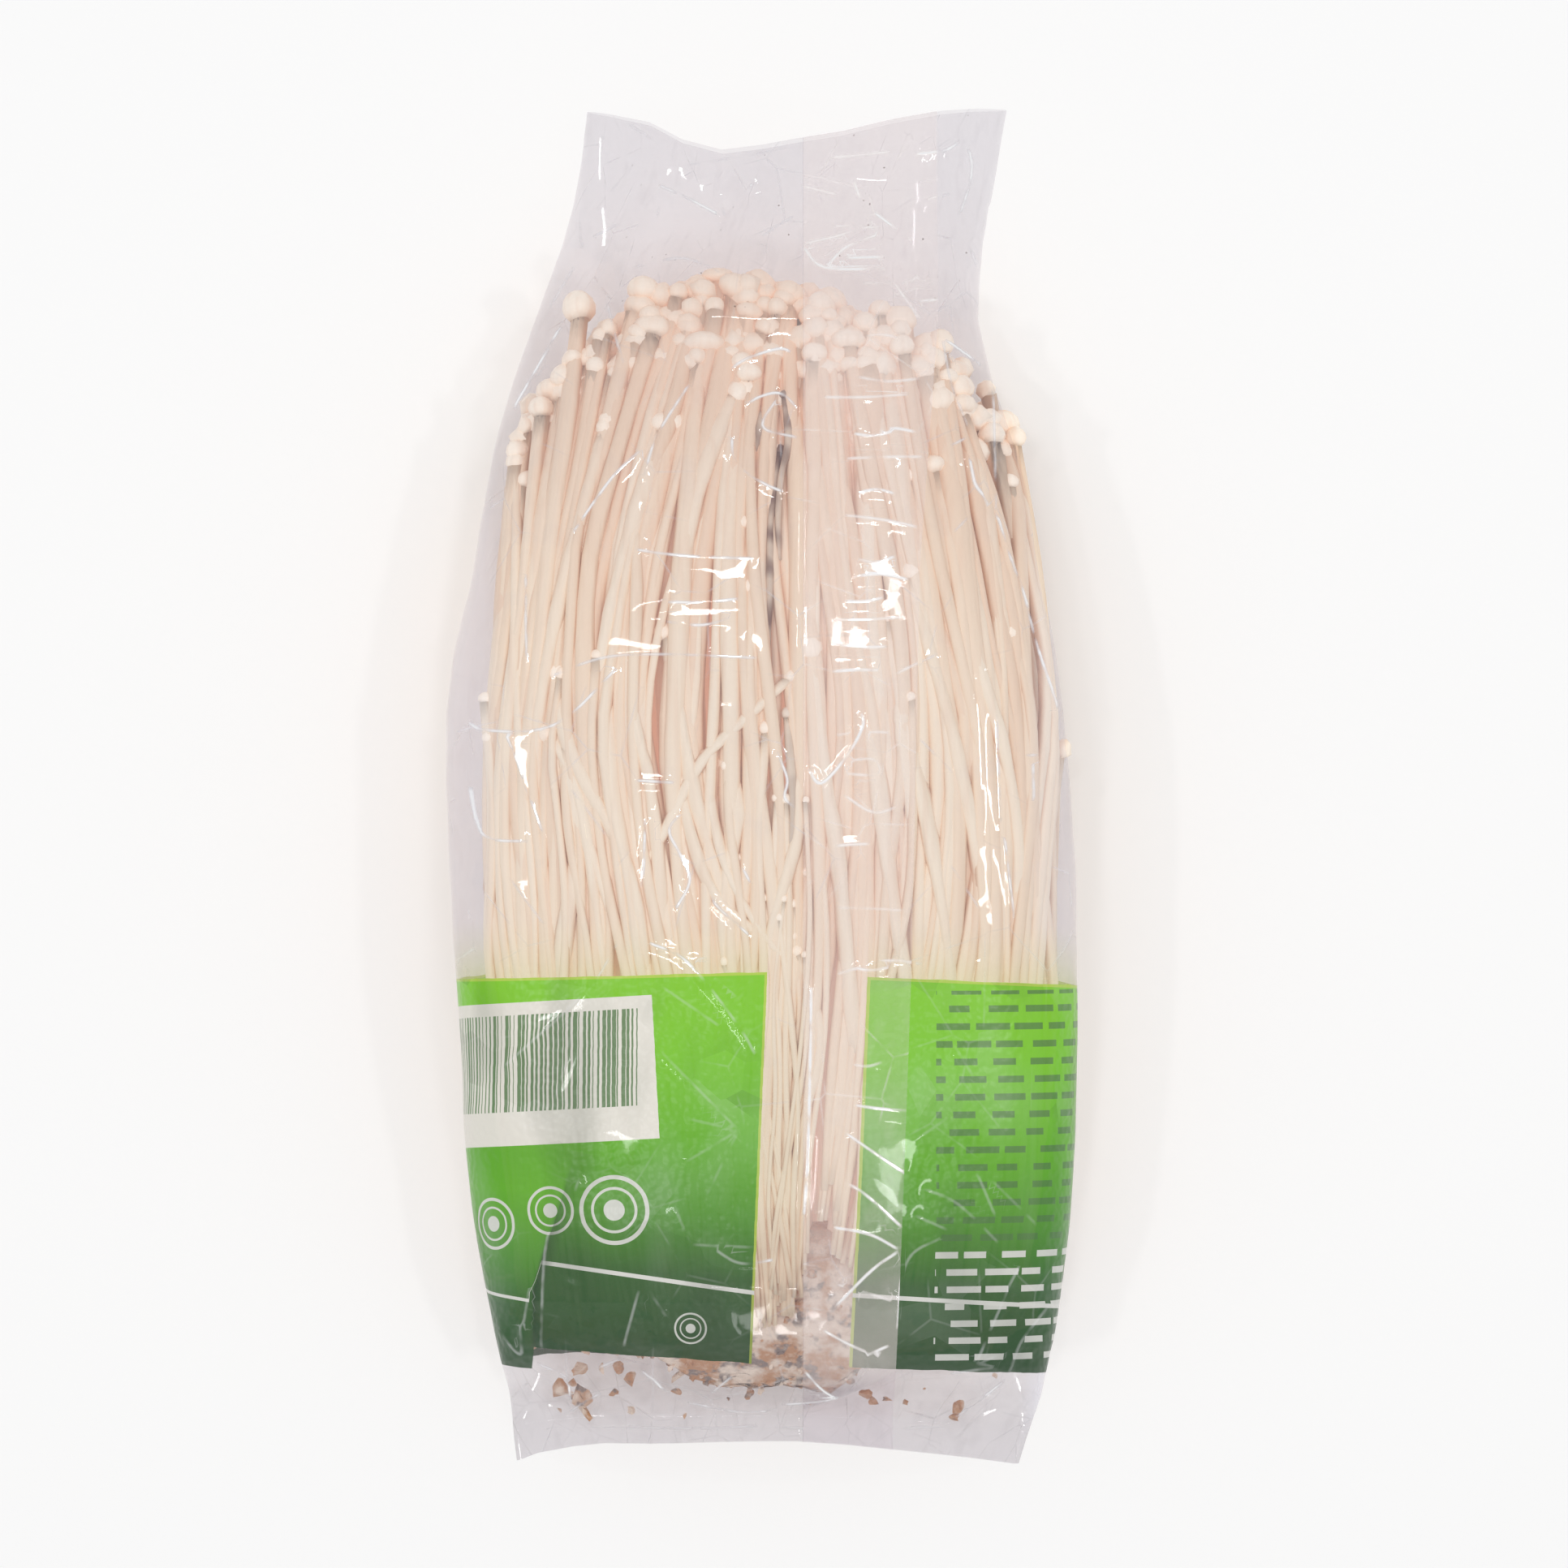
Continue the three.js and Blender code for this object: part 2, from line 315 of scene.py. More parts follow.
def flesh_finish():
    f = Finish("mushroom_flesh")
    place = f.node("ShaderNodeTexCoord", output="Object")
    numbers = ("tone", "growth", "withered", "depth", "crevice")
    tone, growth, withered, depth, crevice = (f.attribute(name) for name in numbers)
    fibres = f.noise(f.scaled(place, (900, 40, 900)), 1.0, 1.0)
    mottle = f.noise(place, 170.0, 1.0)
    headward = f.axis(place, "Y")
    rootward = -1 * headward
    in_cap = growth.ramp(0.9, 0.97)
    colour = f.mix(CREAM, ROSY, tone.ramp(0.0, 0.9) * 0.65)
    colour = f.mix(colour, PEACH, headward.ramp(0.02, 0.065) * 0.6)
    colour = f.mix(colour, YELLOW, (0.4 - tone).ramp(0, 0.5) * 0.4 + in_cap * 0.9)
    colour = f.mix(colour, ROSY, fibres.ramp(0.45, 0.8) * 0.4)
    colour = f.mix(colour, GREENISH, rootward.ramp(0.012, 0.06) * 0.65)
    colour = f.mix(colour, ROOT_BROWN, rootward.ramp(0.066, 0.09) * mottle.ramp(0.3, 0.6))
    # Painted shade: the sides that turn into the bunch, where stems touch, are darker and more orange.
    colour = f.mix(colour, CREVICE_SHADE, crevice.ramp(0.35, 1.0) * (0.65 - in_cap * 0.3))
    colour = f.mix(colour, INNER, depth * 0.8)
    # Darkened stems, in mottled patches and without glow; one of them is painted shade of a gap.
    colour = f.mix(colour, DARKENED_BROWN, withered * (0.4 + mottle.ramp(0.4, 0.55) * 0.6))
    inputs = {
        "Base Color": colour,
        "Roughness": 0.36 + mottle * 0.2,
        "Normal": f.bump(fibres, 0.45, 0.5 * MM),
        "IOR": 1.4,
        "Emission Color": f.mix(DARKNESS, GLOW, depth.most(in_cap * 0.6) * (1 - withered)),
        "Emission Strength": 0.29,
    }
    return f.surface(f.node("ShaderNodeBsdfPrincipled", None, inputs))


flesh = flesh_finish()
flesh.cycles.emission_sampling = "NONE"  # the glow is too faint to light anything else
print("made", flesh.name, "with", len(flesh.node_tree.nodes), "nodes")

# %% [markdown]
# ## One mushroom
#
# A mushroom is modelled upright, ring by ring: the stem is drawn up from a disc, the
# cap swells round it like a bulb, and closes on a point. Each of the hundreds in the
# bunch is a copy of such a model, laid along its own path. Those deep in the bunch
# copy a model with few faces.

# %% Caps
STEM = 100 * MM  # length of the model's stem; each copy has its own length
NECK = 1.0 * MM  # radius of the model's stem

# Each kind's radius, and its heights above and below its widest ring, in neck radii.
CAPS = {
    "bud": (1.4, 1.6, 1.0), "knob": (1.8, 1.8, 1.1), "dome": (2.1, 1.9, 0.9), "parasol": (2.4, 1.7, 0.7),
}
CAP_ANGLES = (-55, -25, 6, 30, 53, 74)  # degrees up from the widest ring, for each ring
CAP_LIFT = 0.6  # how far the widest ring is above the neck's end, as a share of the height below it


def cap_rings(radius, above, below, every=1):
    """The rise above the neck and the radius of each ring, from under the cap, and the crown's rise."""
    angles = [math.radians(a) for a in CAP_ANGLES[::every]]
    lift = CAP_LIFT * below
    rises = [lift + (above if a > 0 else below) * math.sin(a) for a in angles]
    return list(zip(rises, [radius * math.cos(a) for a in angles])), lift + above


# %% Modelling a mushroom


def model_mushroom(name, cap, sides, steps):
    """One upright mushroom, whose cap has the given rings and crown."""
    cap, crown = cap
    bpy.ops.object.select_all(action="DESELECT")
    bpy.ops.mesh.primitive_circle_add(vertices=sides, radius=NECK, fill_type="NGON")
    model = bpy.context.object
    model.name = name
    bpy.ops.object.mode_set(mode="EDIT")
    bpy.ops.mesh.select_all(action="SELECT")
    for _ in range(steps):
        bpy.ops.mesh.extrude_region_move(TRANSFORM_OT_translate={"value": (0, 0, STEM / steps)})
    below, wide = 0.0, 1.0
    for rise, radius in cap:
        step = (0, 0, (rise - below) * NECK)
        bpy.ops.mesh.extrude_region_move(TRANSFORM_OT_translate={"value": step})
        bpy.ops.transform.resize(value=(radius / wide, radius / wide, 1))
        below, wide = rise, radius
    bpy.ops.mesh.extrude_region_move(TRANSFORM_OT_translate={"value": (0, 0, (crown - below) * NECK)})
    bpy.ops.mesh.merge(type="CENTER")
    bpy.ops.mesh.select_all(action="SELECT")
    bpy.ops.mesh.normals_make_consistent(inside=False)
    bpy.ops.object.mode_set(mode="OBJECT")
    points = np.array([v.co[:] for v in model.data.vertices])
    faces = [list(p.vertices) for p in model.data.polygons]
    in_cap = np.zeros(len(points), bool)
    in_cap[sides * (steps + 1) :] = True
    bpy.data.objects.remove(model)
    print("model", name, "has", len(faces), "faces")
    return points, faces, in_cap


near_models = {k: model_mushroom("near_" + k, cap_rings(*cap), 12, 22) for k, cap in CAPS.items()}
deep_models = {k: model_mushroom("deep_" + k, cap_rings(*cap, every=2), 7, 8) for k, cap in CAPS.items()}

# %% [markdown]
# ## How the stems run
#
# Seen from above, the stems rise side by side from the roots and draw together at
# the heads. The left half leans to the right at the top and the right half leans to
# the left, with a parting between them. A lane is a number from 0, at the left edge,
# to 1, at the right edge, and the guides below say where some lanes are at some heights.

# %% Lanes
GUIDE_Y = np.array([-96, -76, -28, 9, 40, 65, 86]) * MM
GUIDES = {  # lane: x at each of the heights, in mm
    0.00: (-36, -38.5, -41.0, -41.8, -39.8, -37, -35),
    0.16: (-20, -23, -29, -32, -28.5, -21.5, -17),
    0.32: (-9, -10.5, -15, -19, -16.5, -9.5, -6),
    0.49: (2, 2, 1.5, 1, 0.5, 2, 3),
    0.51: (4, 4.5, 5, 5.5, 5, 5.5, 6),
    0.68: (11, 12.5, 18.5, 20.5, 16.5, 13, 11.5),
    0.84: (24, 27, 33, 34.5, 29.5, 24, 20),
    1.00: (38, 42.5, 46.2, 45.8, 42, 36.5, 31),
}
LANES = np.array(list(GUIDES))
LANE_X = np.array(list(GUIDES.values())) * MM


def lane_x(lane, y):
    """Where a lane is at height y."""
    at_height = np.transpose([np.interp(y, GUIDE_Y, column) for column in LANE_X])
    return np.array([np.interp(s, LANES, column) for s, column in zip(lane, at_height)])


def lane_of(x, y):
    """The lane that passes through a point."""
    at_height = [np.interp(y, GUIDE_Y, column) for column in LANE_X]
    return float(np.interp(x, at_height, LANES))


print("the parting at half height is at x", round(float(lane_x([0.5], np.zeros(1))[0]) / MM, 1), "mm")

# %% Paths
ROOT_Y = -86 * MM
BARE_LANE, BARE_WIDTH = 0.62, 0.09  # near this lane the clump shows,
BARE_ROOT = 20 * MM  # and stems start this much higher
PATH_POINTS = 10
HEAD_SPREAD = 1.8  # how far heads stray to the side of their lane, in mm
SWAY, SWAY_LANES, SWAY_TURNS = 1.7 * MM, 3.3, 1.2  # neighbours sway together, in waves over the lanes
FULL_TURN = 6.28  # radians


def stem_path(lane, top_y, lift, rng, swing=1.0, foot_lane=None, drift=0.0):
    """Points from the roots to a head at top_y. lift is 0 at the floor and 1 at the upper film.
    Stems with the same drift sway together."""
    share = np.linspace(0, 1, PATH_POINTS)
    foot_lane = lane + rng.normal(0, 0.035) if foot_lane is None else foot_lane
    root_y = ROOT_Y + BARE_ROOT * math.exp(-(((foot_lane - BARE_LANE) / BARE_WIDTH) ** 2)) * (lift > 0.5)
    y = root_y + rng.uniform(-4, 4) * MM * (1 - share) + (top_y - root_y) * share
    lanes = lane + (foot_lane - lane) * (1 - share) ** 1.5
    x = lane_x(np.clip(lanes, 0, 1), y)
    lengths, starts = rng.uniform(1.5, 4.5, 2), rng.uniform(0, FULL_TURN, 2)
    middle = np.sin(math.pi * share)  # most at half height
    swing = swing * (0.35 + 0.65 * middle) * MM
    x += swing * np.sin(lengths[0] * share * 2 + starts[0]) * rng.uniform(0.3, 1.2)
    x += rng.normal(0, HEAD_SPREAD) * MM * share**5
    x += SWAY * np.sin(FULL_TURN * (lane * SWAY_LANES + share * SWAY_TURNS + drift)) * middle
    under, over = film_heights(x, y)
    z = under + (over - under) * lift
    z += 0.8 * swing * np.sin(lengths[1] * share * 2 + starts[1])
    return np.column_stack([x, y, z])


PARTING_X = 3 * MM
PARTING_Y = np.array([-40, -14, 2, 44, 54, 64]) * MM
PARTING_HALF = np.array([0.2, 1.2, 1.7, 1.7, 1.2, 0.2]) * MM  # half the gap's width there


def parted(path, lane, radius):
    """The path, kept to its own side of the parting."""
    side = 1 if lane > 0.5 else -1
    beside = np.abs(path[:, 1] - (PARTING_Y[0] + PARTING_Y[-1]) / 2) < (PARTING_Y[-1] - PARTING_Y[0]) / 2
    least = np.interp(path[:, 1], PARTING_Y, PARTING_HALF) + radius
    away = np.maximum((path[:, 0] - PARTING_X) * side, least)
    path[:, 0] = np.where(beside, PARTING_X + side * away, path[:, 0])
    return path


def kept_inside(path, radius, clearance):
    """The path, pushed in where a stem of that radius would touch the film."""
    under, over = film_heights(path[:, 0], path[:, 1])
    room = radius + clearance
    low, high = under + room, over - room
    path[:, 2] = np.where(low < high, np.clip(path[:, 2], low, np.maximum(low, high)), (under + over) / 2)
    return path


def seat_cap(path, radius, gap):
    """The path, whose end is lowered until a cap of that radius clears the film."""
    under, over = film_heights(path[-1, 0], path[-1, 1])
    path[-1, 2] = max(min(path[-1, 2], over - 1.15 * radius - gap), under + radius)
    return path


def smooth_path(points, share):
    """Places on a smooth curve through the points, at shares of the way along."""
    ends = np.vstack([2 * points[0] - points[1], points, 2 * points[-1] - points[-2]])
    at = np.clip(share, 0, 1) * (len(points) - 1)
    i = np.minimum(at.astype(int), len(points) - 2)
    t = (at - i)[:, None]
    a, b, c, d = (ends[i + k] for k in range(4))
    bend = (2 * a - 5 * b + 4 * c - d) * t**2 + (3 * b - a - 3 * c + d) * t**3
    return 0.5 * (2 * b + (c - a) * t + bend)


# %% [markdown]
# ## Laying a mushroom along its path
#
# Each point of the model keeps its place round the stem and its share of the length,
# and moves to the path. Stems are never quite round or even, so each copy gets soft
# lobes and swellings of its own, and it thins towards the foot. Caps tip a little.

# %% Directions in the bunch
UPWARDS = np.array([0.0, 0.0, 1.0])
DEPTH_STARTS, DEPTH_RANGE = 0.95, 0.35  # in shares of the way from the bunch's middle to the film


def unit(vectors):
    return vectors / np.maximum(np.linalg.norm(vectors, axis=-1, keepdims=True), 1e-9)


def outward_at(points):
    """Each point's direction out of the bunch, and its depth: 0 near the film, and 1 deep inside."""
    left, right, middle, high = bag_at(points[:, 1])
    across = (2 * points[:, 0] - left - right) / (right - left)
    upright = (points[:, 2] - middle) / (high - middle)
    reach = (np.abs(across) ** SECTION_POWER + np.abs(upright) ** SECTION_POWER) ** (1 / SECTION_POWER)
    steepness = SECTION_POWER - 1
    slope_x = np.sign(across) * np.abs(across) ** steepness * 2 / (right - left)
    slope_z = np.sign(upright) * np.abs(upright) ** steepness / (high - middle)
    outward = unit(np.column_stack([slope_x, np.zeros(len(points)), slope_z]) * MM)
    return outward, np.clip((DEPTH_STARTS - reach) / DEPTH_RANGE, 0, 1)


print("the way out at the right side:", outward_at(np.array([[40 * MM, 0, 10 * MM]]))[0].round(2))

# %% A tuft in the making
THINS_BELOW = 1.8  # a stem has its full width from this part of its length, as 1 / share
LOWEST = 0.25 * MM  # just above the film that lies on the floor
LOBES, RIDGES, SWELLING, KNOTS, LOPSIDED = 0.12, 0.05, 0.1, 0.05, 0.14  # how uneven a copy is


class Tuft:
    """Mushrooms that are gathered into one piece."""

    def __init__(self):
        self.points, self.faces, self.count = [], [], 0
        self.numbers = {"tone": [], "growth": [], "withered": [], "depth": [], "crevice": []}

    def add(self, model, path, neck, tone, rng, cap_size=1.0, tip=0.3, foot=0.4, withered=0.0):
        """Lays a copy of a model along the path, with a neck of that radius."""
        points, faces, in_cap = model
        share = np.clip(points[:, 2] / STEM, 0, 1)
        centre = smooth_path(path, share)
        ahead = np.clip(share, 0.01, 0.99)
        along = unit(smooth_path(path, ahead + 0.01) - smooth_path(path, ahead - 0.01))
        along[in_cap] = unit(along[in_cap] + rng.normal(0, tip, 3) * (1, 0.3, 0.7))
        side = unit(np.cross(UPWARDS, along))
        up = np.cross(along, side)
        turn = np.arctan2(points[:, 1], points[:, 0])
        phase = rng.uniform(0, FULL_TURN, 5)
        lobes = 1 + LOBES * np.sin(2 * turn + phase[0] + 3 * share) + RIDGES * np.sin(3 * turn + phase[1])
        swell = 1 + SWELLING * np.sin(share * 13 + phase[2]) + KNOTS * np.sin(share * 37 + phase[3])
        thin = foot + (1 - foot) * np.minimum(share * THINS_BELOW, 1) ** 0.8
        lopsided = 1 + LOPSIDED * np.sin(turn + phase[4]) * in_cap
        width = np.where(in_cap, 1, thin * swell) * lobes * lopsided * neck / NECK
        outer = np.clip(np.hypot(points[:, 0], points[:, 1]) / NECK - 1, 0, 1)
        width *= np.where(in_cap, 1 + (cap_size - 1) * outer, 1)
        rise = np.where(in_cap, points[:, 2] - STEM, 0) * neck / NECK * cap_size
        offset = side * points[:, :1] + up * points[:, 1:2]
        laid = centre + offset * width[:, None] + along * rise[:, None]
        laid[:, 2] = np.maximum(laid[:, 2], LOWEST)
        self.points.append(laid)
        self.faces += [[v + self.count for v in face] for face in faces]
        self.numbers["tone"].append(np.full(len(points), tone))
        self.numbers["growth"].append(np.where(in_cap, 1.0, share * 0.9))
        self.numbers["withered"].append(np.full(len(points), withered))
        outward, depth = outward_at(laid)
        self.numbers["depth"].append(depth)
        self.numbers["crevice"].append(1 - (unit(offset) * outward).sum(1))
        self.count += len(points)

    def piece(self, name, material):
        """The gathered mushrooms as one piece, which rides on the only body."""
        mesh = bpy.data.meshes.new(name)
        mesh.from_pydata(np.vstack(self.points).tolist(), [], self.faces)
        for number, values in self.numbers.items():
            layer = mesh.attributes.new(number, "FLOAT", "POINT")
            layer.data.foreach_set("value", np.concatenate(values))
        mesh.polygons.foreach_set("use_smooth", [True] * len(mesh.polygons))
        mesh.materials.append(material)
        made = bpy.data.objects.new(name, mesh)
        bpy.context.collection.objects.link(made)
        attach(made, BODY)
        return made

# %% [markdown]
# ## The bunch
#
# Each mushroom joins the CAD tuft whose line it grows nearest to, and each tuft's
# mushrooms become one piece. The heads that show best under the film are placed one
# by one. The rest stand in layers, from the floor up to the film, and fill the bag.

# %% Tufts of the frame
TUFTS = sorted(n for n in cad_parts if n.startswith("tuft_"))
tuft_lines = {node: centre_line(node) for node in TUFTS}
tufts = {node: Tuft() for node in TUFTS}
MEETING_Y = 0.0  # the height at which a mushroom's tuft is chosen


def place_at(line, y):
    return np.array([np.interp(y, line[:, 1], line[:, k]) for k in (0, 2)])


def tuft_at(path):
    """The tuft whose line the path passes nearest to."""
    y = min(MEETING_Y, path[-1, 1] - 5 * MM)
    here = place_at(path[np.argsort(path[:, 1])], y)
    return tufts[min(TUFTS, key=lambda n: np.linalg.norm(place_at(tuft_lines[n], y) - here))]


print(len(TUFTS), "tufts")

# %% Heads that show best
# x and y of the cap's middle and its radius, in mm; its kind; how far under the film it is, in mm.
SHOWN_HEADS = [
    (-26.7, 75.4, 3.1, "knob", 1.5), (-20.0, 78.5, 2.9, "dome", 2.5), (-17.0, 72.4, 2.8, "dome", 0.6),
    (-8.2, 80.8, 2.6, "parasol", 3.5), (-12.7, 75.2, 2.2, "knob", 3.5), (-5.6, 69.2, 3.9, "parasol", 0.3),
    (-2.6, 66.6, 2.4, "dome", 1.5), (-3.1, 62.0, 2.6, "knob", 0.5), (2.5, 64.9, 2.3, "dome", 0.5),
    (-22.6, 57.5, 2.1, "dome", 0.6), (-15.7, 57.2, 2.4, "dome", 0.8), (-15.9, 44.1, 1.5, "bud", 0.3),
    (-2.3, 41.0, 2.2, "dome", 0.6), (0.9, 52.9, 1.9, "bud", 1.5), (1.2, 46.5, 1.5, "bud", 1.8),
    (-34.2, 59.7, 2.0, "knob", 1.0), (-35.0, 52.9, 1.9, "knob", 1.0), (22.1, 69.5, 2.4, "dome", 0.5),
    (14.8, 70.2, 2.6, "dome", 0.8), (19.4, 66.8, 2.0, "dome", 1.4), (8.1, 68.2, 2.0, "knob", 1.2),
    (27.0, 59.9, 3.2, "knob", 0.4), (29.6, 50.0, 2.4, "dome", 0.6), (26.0, 48.6, 1.7, "bud", 1.2),
    (22.4, 49.0, 1.4, "bud", 1.6), (12.5, 66.5, 1.9, "dome", 2.2), (26.0, 69.8, 2.6, "knob", 2.0),
    (-0.8, 30.9, 1.5, "bud", 0.4), (-42.6, 7.1, 1.3, "bud", 0.6), (-32.2, 7.1, 1.1, "bud", 0.2),
    (0.1, 8.7, 1.2, "bud", 0.3), (-4.8, 2.8, 1.2, "bud", 0.1), (-23.8, 20.4, 0.9, "bud", 0.2),
    (-42.0, 13.5, 1.1, "bud", 0.8), (-33.3, 17.4, 1.1, "bud", 0.5), (22.7, 13.8, 0.9, "bud", 0.3),
    (40.8, 24.0, 1.5, "bud", 0.5), (39.5, 55.2, 1.9, "knob", 1.5), (35.0, 60.0, 2.4, "dome", 1.8),
    (42.1, 48.1, 1.3, "bud", 1.5), (-38.5, 48.1, 1.9, "knob", 1.6), (-30.7, 67.6, 2.0, "dome", 2.2),
    (31.5, 64.8, 1.9, "dome", 2.4), (-4.3, 75.0, 2.2, "dome", 3.5), (3.5, 75.5, 2.0, "knob", 3.0),
    (-11.2, 66.5, 2.0, "knob", 2.4), (10.5, 74.5, 1.9, "dome", 3.0), (17.5, 75.5, 1.8, "knob", 3.2),
]
CLEARANCE = 0.5 * MM  # between the film and the stems

rng = np.random.default_rng(41)
for x, y, radius, kind, under in SHOWN_HEADS:
    neck = np.clip(radius / CAPS[kind][0], 0.8, 1.7) * MM
    cap_size = radius * MM / neck / CAPS[kind][0]
    lane = lane_of(x * MM, y * MM)
    path = stem_path(lane, y * MM, 1.0, rng, 0.5, lane + rng.normal(0, 0.04))
    path[:, 2] -= under * MM
    path = kept_inside(path, neck, CLEARANCE + 0.4 * under * MM)
    path = seat_cap(path, radius * MM, CLEARANCE + 0.7 * under * MM)
    tone = rng.uniform(0.05, 0.6)
    tuft_at(path).add(near_models[kind], path, neck, tone, rng, cap_size, 0.2)
print(len(SHOWN_HEADS), "heads placed one by one")

# %% Layers of the bunch
HEADS_X = np.array([-46, -38, -30, -22, -10, 0, 12, 24, 33, 40, 48]) * MM
HEADS_Y = np.array([40, 56, 69, 77, 81, 79, 77, 73, 66, 56, 40]) * MM
# How high the layer lies, its number of mushrooms, the share that stop short, and the model.
LAYERS = [
    (0.98, 36, 0.16, near_models), (0.92, 42, 0.25, near_models), (0.85, 48, 0.3, near_models),
    (0.76, 44, 0.3, deep_models), (0.66, 42, 0.3, deep_models), (0.51, 40, 0.3, deep_models),
    (0.35, 38, 0.3, deep_models), (0.2, 40, 0.3, deep_models), (0.08, 42, 0.2, deep_models),
]
PARTED_ABOVE = 0.9  # layers this high keep clear of the parting
NECKS = [(0.8, 1.15), (1.15, 1.6), (1.6, 2.0)]  # slim, middling and stout, in mm
NECK_SHARES = [0.25, 0.5, 0.25]
KINDS, KIND_SHARES = ["knob", "dome", "bud", "parasol"], [0.4, 0.35, 0.2, 0.05]
STEM_GAP = CLEARANCE + 1.0 * MM  # between the film and the stems of the layers
NEAR_GAP, DEEP_GAP = CLEARANCE + 2.2 * MM, CLEARANCE + 1.0 * MM  # between the film and their caps
NEAR_ABOVE = 0.8  # layers this high have the near gap
CAP_RADII = {"bud": (1.4, 2.0), "knob": (2.1, 3.0), "dome": (2.4, 3.4), "parasol": (2.8, 3.8)}  # in mm


def head_line(lane):
    """How high the heads of a lane stand."""
    x = lane_x([lane], np.array([60 * MM]))[0]
    return np.interp(x, HEADS_X, HEADS_Y)


rng = np.random.default_rng(7)
for lift, number, short_share, models in LAYERS:
    drift = rng.random()
    for i in range(number):
        lane = np.clip((i + 0.5) / number + rng.normal(0, 0.006), 0, 1)
        top = head_line(lane) - abs(rng.normal(0, 8)) * MM
        neck = rng.choice([rng.uniform(*width) for width in NECKS], p=NECK_SHARES) * MM
        kind = rng.choice(KINDS, p=KIND_SHARES)
        if rng.random() < short_share:
            top -= rng.uniform(8, 60) * MM
            neck, kind = rng.uniform(0.65, 1.1) * MM, "bud"
        path = stem_path(lane, top, lift + rng.normal(0, 0.03), rng, 1.0, lane + rng.normal(0, 0.05), drift)
        if lift > PARTED_ABOVE:
            path = parted(path, lane, neck)
        path = kept_inside(path, neck, STEM_GAP)
        cap = rng.uniform(*CAP_RADII[kind]) * MM
        path = seat_cap(path, cap, NEAR_GAP if lift > NEAR_ABOVE else DEEP_GAP)
        tuft_at(path).add(models[kind], path, neck, rng.random(), rng, cap / neck / CAPS[kind][0])
print(sum(row[1] for row in LAYERS), "mushrooms in", len(LAYERS), "layers")

# %% Loose mushrooms
# Those that left their lane and lie across others: radius, darkened share, and x and y of
# points from foot to head, in mm.
LOOSE = [
    (0.9, 0.0, -18.6, -13.3, -15.2, -7.5, -9.8, 3.1, -4.3, 9.0, 4.4, 16.9),
    (0.9, 0.0, 6.2, -29.1, 0.8, -23.5, -4.3, -14.8, -7.0, -6.0, -8.5, 4.0),
    (1.1, 0.0, 5.6, -28.0, -1.4, -22.5, -7.5, -16.3, -11.2, -6.1, -12.6, 3.0),
    (1.1, 0.0, 1.6, -36.0, 1.6, -23.9, 4.4, -14.0, 6.4, -6.0, 6.0, 2.0),
    (1.3, 0.0, -17.8, -34.0, -19.4, -24.3, -20.8, -13.3, -23.0, -0.9, -24.2, 18.5),
    (1.4, 0.0, -18.0, -32.0, -19.0, -22.0, -21.6, -10.5, -29.5, 5.0, -32.0, 17.0),
    (1.4, 0.0, -30.9, -34.0, -30.9, -24.3, -28.7, -9.0, -30.0, 0.0, -31.8, 6.9),
    (1.2, 0.0, -5.0, -34.0, -5.6, -20.0, -4.2, -9.0, -3.4, -4.0, -4.7, 2.7),
    (1.3, 0.0, -3.8, -27.0, -6.0, -17.0, -9.4, -5.0, -11.2, 3.0, -14.8, 23.5),
    (1.2, 0.0, -15.4, -28.0, -15.8, -14.0, -17.5, 1.0, -19.6, 9.0, -20.5, 19.0),
    (1.3, 0.0, -24.6, -31.0, -26.0, -18.0, -27.6, -6.0, -29.6, 2.0, -32.6, 8.0),
    (1.1, 0.0, -20.4, -29.0, -24.6, -16.0, -27.4, -8.0, -30.6, 3.0, -31.0, 7.5),
    (1.5, 0.0, 15.0, -42.0, 13.6, -24.0, 12.2, -10.0, 10.6, 0.0, 8.2, 21.0),
    (1.4, 0.0, 24.6, -40.0, 22.4, -26.0, 20.4, -12.0, 18.6, 2.0, 16.6, 14.0),
    (1.5, 0.0, 30.2, -36.0, 29.6, -24.0, 27.0, -8.0, 24.2, 5.0, 20.2, 26.0),
    (1.4, 0.0, 35.6, -20.0, 33.8, -8.0, 31.2, 5.0, 28.6, 16.0, 24.0, 33.0),
    (1.3, 0.0, 40.6, -24.0, 41.0, -10.0, 38.6, 6.0, 35.0, 18.0, 33.2, 32.0),
    (1.2, 0.0, 24.6, -12.0, 24.0, -2.0, 22.6, 8.0, 22.4, 11.0, 22.2, 14.0),
    (1.4, 0.0, -36.0, 6.0, -34.0, 18.0, -31.6, 30.0, -28.0, 44.0, -24.4, 56.0),
    (1.5, 0.0, -26.0, 14.0, -23.8, 26.0, -21.0, 38.0, -18.0, 48.0, -15.6, 56.5),
    (1.4, 0.0, -14.0, 22.0, -12.4, 34.0, -10.0, 46.0, -6.8, 56.0, -4.4, 62.0),
    # Darkened stems in the parting.
    (0.7, 1.0, 1.0, 18.0, 1.5, 27.6, 1.7, 35.0, 1.9, 43.0, 3.2, 53.0),
    (0.55, 0.8, 3.2, 36.0, 3.0, 42.0, 3.4, 49.0, 4.6, 55.0, 4.0, 62.0),
    (0.7, 0.9, -0.4, 53.0, -0.2, 55.0, 0.0, 56.5, 0.2, 58.0, 0.3, 59.5),
    # Painted shade: a darkened stem where the gap between stems is shaded.
    (0.8, 0.4, 4.2, -18.0, 4.9, -11.0, 5.3, -4.0, 5.0, 3.0, 4.4, 11.0),
]
LOOSE_DEPTH, END_DEPTH = 0.1 * MM, 1.2 * MM  # under the film, along a stem and more at its ends

